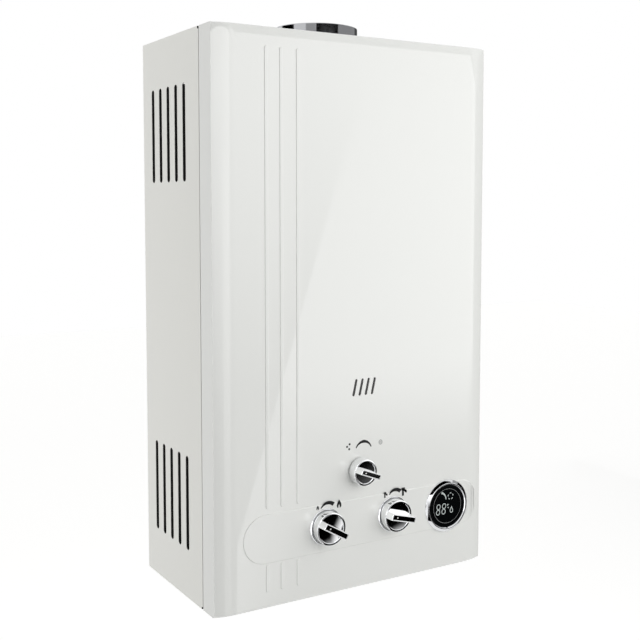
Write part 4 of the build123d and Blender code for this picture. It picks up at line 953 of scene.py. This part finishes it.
def makeScrews():
    first = makeScrew(**screwShape)
    places = [((x, fixing["depth"], level), turn)
              for level, turn in ((cover["height"], 0), (0, 180)) for x in fixing["places"]]
    reach = collar["screwRound"] / sqrt(2)
    places += [((a * reach, collar["depth"] + b * reach, collar["low"] + collar["wall"]), 0)
               for a in (-1, 1) for b in (-1, 1)]
    made = [copyOf(first, "screw", *place, turn=(radians(turn), 0, radians(17 + 41 * number)))
            for number, (place, turn) in enumerate(places)]
    bpy.data.objects.remove(first, do_unlink=True)
    return finishPiece(joinAll("casingScrews", made), "heater", "screw_steel", "casing_screws", angle=35)


makeScrews()
print("screws ready")


# Ports below the casing

port = dict(low=-30, thread=10.48, root=9.5, pitch=1.9, seat=12, seatLow=-6, collar=2.5, collarHeight=8,
            hexagon=30, spigot=11.2, bore=7, socket=8.05)
hexShape = dict(inset=0.3, slope=0.577)
ports = {"hotOutlet": ("hot_outlet", 20), "gasInlet": ("gas_inlet", 0), "coldInlet": ("cold_inlet", 0)}


def middleOf(node):  # where a node's box is centred across and in depth, and its top, in millimetres
    low, high = (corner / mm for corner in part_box(node))
    return (low.x + high.x) / 2, (low.y + high.y) / 2, high.z


def hexBar(name, low, high, flats):  # along Z, its corners turned down at both ends
    clearSelection()
    corner = flats / sqrt(3)
    bpy.ops.mesh.primitive_cylinder_add(vertices=6, radius=corner * mm, depth=(high - low) * mm,
                                        location=(0, 0, (low + high) / 2 * mm))
    bar = newPiece(name)
    face = flats / 2 - hexShape["inset"]
    fall = (corner - face) * hexShape["slope"]
    profile = [(0, low), (face, low), (corner, low + fall), (corner, high - fall), (face, high), (0, high)]
    combine(bar, turnedPiece("turned", profile, 96), "INTERSECT")
    return bar


def makePort(name, node, socketDepth, low, thread, root, pitch, seat, seatLow, collar, collarHeight,
             hexagon, spigot, bore, socket):
    x, y, top = middleOf(node)
    profile = [(bore, low), (root - 0.6, low)]
    level = low + 0.7
    while level < seatLow - pitch:
        profile += [(root, level), (thread, level + 0.7), (thread, level + 1.0), (root, level + 1.7)]
        level += pitch
    profile += [(root, seatLow), (seat - 0.5, seatLow), (seat, seatLow + 0.5), (seat, collar),
                (spigot, collar), (spigot, top - 0.6), (spigot - 0.6, top)]
    if socketDepth:
        profile += [(socket, top), (socket, top - socketDepth), (bore, top - socketDepth)]
    else:
        profile.append((bore, top))
    stub = turnedPiece(name, profile + [(bore, low)], 96)
    grip = hexBar("collar", collar, collar + collarHeight, hexagon)
    cutOut(grip, addRound("hollow", (0, 0, 0), (0, 0, 40), (bore + spigot) / 2, 48))
    combine(stub, grip, "UNION")
    putAt(stub, (x, y, 0))
    return finishPiece(stub, "heater", slotOf[node], node, angle=32)


def makePortNuts():
    nut = hexBar("portNut", port["seatLow"], 0, port["hexagon"])
    cutOut(nut, addRound("hole", (0, 0, port["seatLow"] - 1), (0, 0, 1), port["seat"] + 0.2, 96))
    mergeDoubles(nut, 0.001, outward=False)
    made = [copyOf(nut, "portNut", *middleOf(node)[:2]) for node, _ in ports.values()]
    bpy.data.objects.remove(nut, do_unlink=True)
    return finishPiece(joinAll("portNuts", made), "heater", slotOf["port_nuts"], "port_nuts", angle=32)


for name, (node, depth) in ports.items():
    makePort(name, node, depth, **port)
makePortNuts()

drainShape = dict(low=-16, high=-4, reach=9, width=4, wingHigh=-6, core=6, shaft=4, top=26,
                  corner=1.9, edge=0.5)


def makeDrainKnob(low, high, reach, width, wingHigh, core, shaft, top, corner, edge):
    x, y, _ = middleOf("drain_knob")
    profile = [(0, low), (core - 1.6, low), (core - 0.5, low + 0.4), (core, low + 1.4),
               (core, high - 0.6), (core - 0.6, high), (shaft, high), (shaft, top), (0, top)]
    knob = turnedPiece("drainKnob", profile, 64)
    wings = addBlock("wings", (-reach, -width / 2, low), (reach, width / 2, wingHigh))
    bevelEdges(wings, corner, 5, isUpright)
    bevelRound(wings, edge, 3, lambda c, n: abs(n.z) > 0.9)
    combine(knob, wings, "UNION")
    putAt(knob, (x, y, 0))
    return finishPiece(knob, "drain", slotOf["drain_knob"], "drain_knob", angle=32)


makeDrainKnob(**drainShape)
print("ports and drain knob ready")


# Battery box and lid

battery = dict(outer=(73.9, 39.2), wall=2, corner=2, flange=(6, 7, 3), flangeCorner=5, flangeEdge=0.8,
               cavityCorner=1.2, lug=5, lugOut=3, lugLow=-8.2, lugCorner=2.2, pin=1.22, hingeBehind=4,
               hingeLevel=-5.7)
lidShape = dict(barrel=2.3, thick=2.2, front=5, corner=3, edge=0.5, lip=(24, 3), lipCorner=1.8, play=0.8,
                room=(3.2, 3), pinPlay=0.06, grooves=4, groovePitch=1.8, groove=(18, 0.9, 0.5))


def makeBatteryBox():
    x, y, top = middleOf("battery_box")
    (wide, deep), wall = battery["outer"], battery["wall"]
    halfWide, halfDeep = wide / 2, deep / 2
    besides, behind, thick = battery["flange"]
    flange = addBlock("flange", (x - halfWide - besides, y - halfDeep - behind, -thick),
                      (x + halfWide + besides, y + halfDeep + behind, 0))
    bevelEdges(flange, battery["flangeCorner"], 6, isUpright)
    bevelRound(flange, battery["flangeEdge"], 3, lambda c, n: n.z < -0.9)
    box = addBlock("batteryBox", (x - halfWide, y - halfDeep, -1), (x + halfWide, y + halfDeep, top))
    bevelEdges(box, battery["corner"], 4, isUpright)
    combine(box, flange, "UNION")
    hingeY, level = y + halfDeep + battery["hingeBehind"], battery["hingeLevel"]
    reach, low = battery["lug"] / 2, battery["lugLow"]
    for side in (-1, 1):
        middle = x + side * (halfWide + battery["lugOut"])
        lug = addBlock("lug", (middle - reach, hingeY - reach, low),
                       (middle + reach, hingeY + reach, 0.2 - thick))
        bevelEdges(lug, battery["lugCorner"], 6, lambda a, b: (
            abs(a.x - b.x) > 1 and max(a.z, b.z) < low + 0.1))
        combine(box, lug, "UNION")
    cavity = addBlock("cavity", (x - halfWide + wall, y - halfDeep + wall, -thick - 1),
                      (x + halfWide - wall, y + halfDeep - wall, top - wall))
    bevelEdges(cavity, battery["cavityCorner"], 4, isUpright)
    pinHole = addRound("pinHole", (x - wide, hingeY, level), (x + wide, hingeY, level), battery["pin"], 32)
    cutOut(box, cavity, pinHole)
    return finishPiece(box, "heater", slotOf["battery_box"], "battery_box", angle=32)


def makeBatteryLid(barrel, thick, front, corner, edge, lip, lipCorner, play, room, pinPlay, grooves,
                   groovePitch, groove):
    x, y, _ = middleOf("battery_box")
    halfWide, halfDeep = battery["outer"][0] / 2, battery["outer"][1] / 2
    hingeY, level = y + halfDeep + battery["hingeBehind"], battery["hingeLevel"]
    top = level + barrel
    low, near = top - thick, y - halfDeep - front
    lid = addBlock("batteryLid", (x - halfWide, near, low), (x + halfWide, hingeY, top))
    bevelEdges(lid, corner, 6, lambda a, b: isUpright(a, b) and a.y < near + 0.1)
    wide, deep = lip
    tab = addBlock("lip", (x - wide / 2, near - deep, low), (x + wide / 2, near + 1, top))
    bevelEdges(tab, lipCorner, 5, lambda a, b: isUpright(a, b) and a.y < near - 1)
    combine(lid, tab, "UNION")
    bevelRound(lid, edge, 3, lambda c, n: n.z < -0.9)
    rod = addRound("barrel", (x - halfWide + play, hingeY, level), (x + halfWide - play, hingeY, level),
                   barrel, 40)
    combine(lid, rod, "UNION")
    for side in (-1, 1):  # room for the lugs
        end = x + side * halfWide
        left, right = sorted((end + side, end - side * play))
        cutOut(lid, addBlock("cut", (left, hingeY - room[0], low - 4), (right, hingeY + room[1], top + 1)))
    wide, deep, depth = groove
    for number in range(grooves):  # for the fingers, in front
        place = near + 2.5 + groovePitch * number
        cutOut(lid, addBlock("groove", (x - wide / 2, place, low - 1),
                             (x + wide / 2, place + deep, low + depth)))
    cutOut(lid, addRound("pinHole", (x - 60, hingeY, level), (x + 60, hingeY, level),
                         battery["pin"] + pinPlay, 32))
    return finishPiece(lid, "lid", slotOf["battery_lid"], "battery_lid", angle=32)


makeBatteryBox()
makeBatteryLid(**lidShape)
print("battery box ready")


# Camera, light and surroundings

camera = dict(place=(-0.7348, -1.3378, 0.5187), pitch=3.995, yaw=31.209, lens=56.33, sensor=36,
              shift=-0.07)


def addCamera():
    clearSelection()
    bpy.ops.object.camera_add(location=camera["place"],
                              rotation=(radians(90 - camera["pitch"]), 0, radians(-camera["yaw"])))
    eye = bpy.context.object
    eye.data.lens = camera["lens"]
    eye.data.sensor_width = camera["sensor"]
    eye.data.shift_y = camera["shift"]
    scene.camera = eye


lamps = {
    "keyLamp": dict(place=(0.95, -1.8, 0.9), aim=(0, -0.1, 0.5), size=2.2, power=28),
    "sideLamp": dict(place=(-2.2, 0.5, 0.45), aim=(-0.2, -0.1, 0.4), size=1.3, power=18.5),
}


def addLamp(name, place, aim, size, power):
    clearSelection()
    bpy.ops.object.light_add(type="AREA", location=place)
    lamp = bpy.context.object
    lamp.name = name
    lamp.rotation_euler = (Vector(aim) - Vector(place)).to_track_quat("-Z", "Y").to_euler()
    lamp.data.shape = "RECTANGLE"
    lamp.data.size = lamp.data.size_y = size
    lamp.data.energy = power
    lamp.visible_glossy = False


room = dict(ambient=0.41, floorSize=24, floorLevel=-1.2, floorTone="e6e6e4", floorRough=0.8,
            floorLift=0.62)


def lightMask(tree):  # 1 for the camera, for metal and for glass
    path = addNode(tree, "LightPath").outputs
    first = maths(tree, "MAXIMUM", path["Is Camera Ray"], path["Is Glossy Ray"])
    return maths(tree, "MAXIMUM", first, path["Is Transmission Ray"])


def addSurroundings():
    world = bpy.data.worlds.new("studio")
    scene.world = world
    world.use_nodes = True
    tree = world.node_tree
    sky = tree.nodes["Background"]
    sky.inputs["Color"].default_value = (1, 1, 1, 1)
    tree.links.new(ramp(tree, lightMask(tree), 0, 1, room["ambient"]), sky.inputs["Strength"])
    clearSelection()
    bpy.ops.mesh.primitive_plane_add(size=room["floorSize"], location=(0, 0, room["floorLevel"]))
    ground = nameIt("floor")
    material = bpy.data.materials.new("floorPaint")
    material.use_nodes = True
    tree = material.node_tree
    shader = tree.nodes["Principled BSDF"]
    grain = addNode(tree, "Group", {"node_tree": grainGroup}, Base=hexTone(room["floorTone"]), Tone=0.01,
                    Rough=room["floorRough"],
                    **{"Cloud Scale": 1.0, "Grain Scale": 60.0, "Rough Spread": 0.05})
    tree.links.new(grain.outputs["Color"], shader.inputs["Base Color"])
    shader.inputs["Roughness"].default_value = room["floorRough"]
    shader.inputs["Emission Color"].default_value = (1, 1, 1, 1)
    lift = ramp(tree, lightMask(tree), 0, 1, 0.0, room["floorLift"])
    tree.links.new(lift, shader.inputs["Emission Strength"])
    ground.data.materials.append(material)
    ground.visible_glossy = False


# Upright panels that only mirrors see: the studio's dark flags and soft boxes, in metres.
# Each stands on a line from start to end, between two levels, and glows evenly or in a pattern.
# foot makes the glow rise: the level where it starts, the level where it ends and the first glow.
panels = {
    "darkWall": dict(start=(-1.3, -2.5), end=(4.2, -2.5), low=-2.9, high=3.2, glow=0),
    "frontPanel": dict(start=(0.45, -2.4), end=(3.4, -2.4), low=-2.9, high=1.14, glow=2.0),
    "bowPanel": dict(start=(-1.3, -2.42), end=(0.45, -2.42), low=-2.9, high=1.12, glow=2.2,
                     foot=(-0.4, 0.95, 0)),
    "cornerStrip": dict(start=(-0.15, -2.4), end=(0.34, -2.4), low=-2.9, high=0.7, glow=2.1,
                        foot=(-0.5, 0.7, 0.6)),
    "greyLeft": dict(start=(-3.4, -2.4), end=(-1.3, -2.4), low=1.15, high=2.4, glow=0.5),
    "greyPanel": dict(start=(1.5, -2.4), end=(4.2, -2.4), low=1.17, high=2.0, glow=0.4),
    "greyRight": dict(start=(4.2, -2.5), end=(4.2, 1.0), low=1.35, high=2.6, glow=0.4),
    "darkRight": dict(start=(4.2, -2.5), end=(4.2, 3.5), low=-2.9, high=1.35, glow=0),
    "darkCorner": dict(start=(4.2, 1.0), end=(4.2, 4.6), low=1.35, high=2.8, glow=0.1),
    "brightLeft": dict(start=(-1.9, -2.3), end=(-1.9, -0.5), low=-1.6, high=0.85, glow=2),
    "darkLeft": dict(start=(-1.9, -0.1), end=(-1.9, 1.6), low=0.9, high=1.6, glow=0),
    "dimLeft": dict(start=(-1.9, 0.6), end=(-1.9, 4.0), low=-2.9, high=0.9, glow=0.45),
    "dimTop": dict(start=(-1.9, 3.0), end=(-1.9, 4.0), low=0.9, high=1.6, glow=0.45),
}
# the slanting edge of light, in millimetres on the front, and the levels where the tones change
slant = dict(foot=(-206, 24), head=(-5, 646), soft=2, dimFrom=280, dimTo=700, dark=150, light=310,
             upper=0.68, near=0.5, nearWidth=120)


def mirrorReach():  # how much larger the front's mirrored picture is on the front panel
    eye, face = camera["place"][1], cover["front"] * mm
    image = 2 * face - eye
    return (panels["frontPanel"]["start"][1] - image) / (face - image)


def frontPattern(tree):
    # what the front mirrors, painted in the front's own places: lighter right of the slanting edge
    eye, reach = camera["place"], mirrorReach()
    place = addNode(tree, "SeparateXYZ", Vector=ownPlace(tree)).outputs
    across = maths(tree, "MULTIPLY_ADD", place["X"], 1 / reach, eye[0] - eye[0] / reach)
    up = maths(tree, "MULTIPLY_ADD", place["Z"], 1 / reach, eye[2] - eye[2] / reach)
    (x0, z0), (x1, z1) = slant["foot"], slant["head"]
    lean = (x1 - x0) / (z1 - z0)
    side = maths(tree, "ADD", across, maths(tree, "MULTIPLY_ADD", up, -lean, (z0 * lean - x0) * mm))
    rise = ramp(tree, up, slant["dark"] * mm, slant["light"] * mm, 0.0, slant["upper"], "SMOOTHSTEP")
    near = ramp(tree, side, 0.0, slant["nearWidth"] * mm, slant["near"], 0.0, "SMOOTHSTEP")
    dim = ramp(tree, up, slant["dimFrom"] * mm, slant["dimTo"] * mm)
    half = slant["soft"] / 2 * mm
    edge = ramp(tree, side, -half, half, dim)
    painted = maths(tree, "MULTIPLY", maths(tree, "MAXIMUM", rise, near), edge)
    return maths(tree, "MULTIPLY", painted, panels["frontPanel"]["glow"])


def addPanel(name, start, end, low, high, glow, foot=None):
    clearSelection()
    bpy.ops.mesh.primitive_plane_add(size=1)
    panel = nameIt(name)
    corners = [(*start, low), (*end, low), (*start, high), (*end, high)]
    for point, corner in zip(panel.data.vertices, corners):
        point.co = corner
    material = bpy.data.materials.new(name)
    material.use_nodes = True
    tree = material.node_tree
    tree.nodes.remove(tree.nodes["Principled BSDF"])
    emission = addNode(tree, "Emission", Color=(1, 1, 1, 1), Strength=glow)
    if name == "frontPanel":
        tree.links.new(frontPattern(tree), emission.inputs["Strength"])
    if foot:
        level = addNode(tree, "SeparateXYZ", Vector=ownPlace(tree)).outputs["Z"]
        tree.links.new(ramp(tree, level, *foot, glow), emission.inputs["Strength"])
    tree.links.new(emission.outputs[0], tree.nodes["Material Output"].inputs["Surface"])
    panel.data.materials.append(material)
    panel.visible_camera = panel.visible_diffuse = panel.visible_shadow = False
    panel.visible_transmission = panel.visible_volume_scatter = False


addCamera()
addSurroundings()
for name, panel in panels.items():
    addPanel(name, **panel)
for name, lamp in lamps.items():
    addLamp(name, **lamp)
print("studio ready")
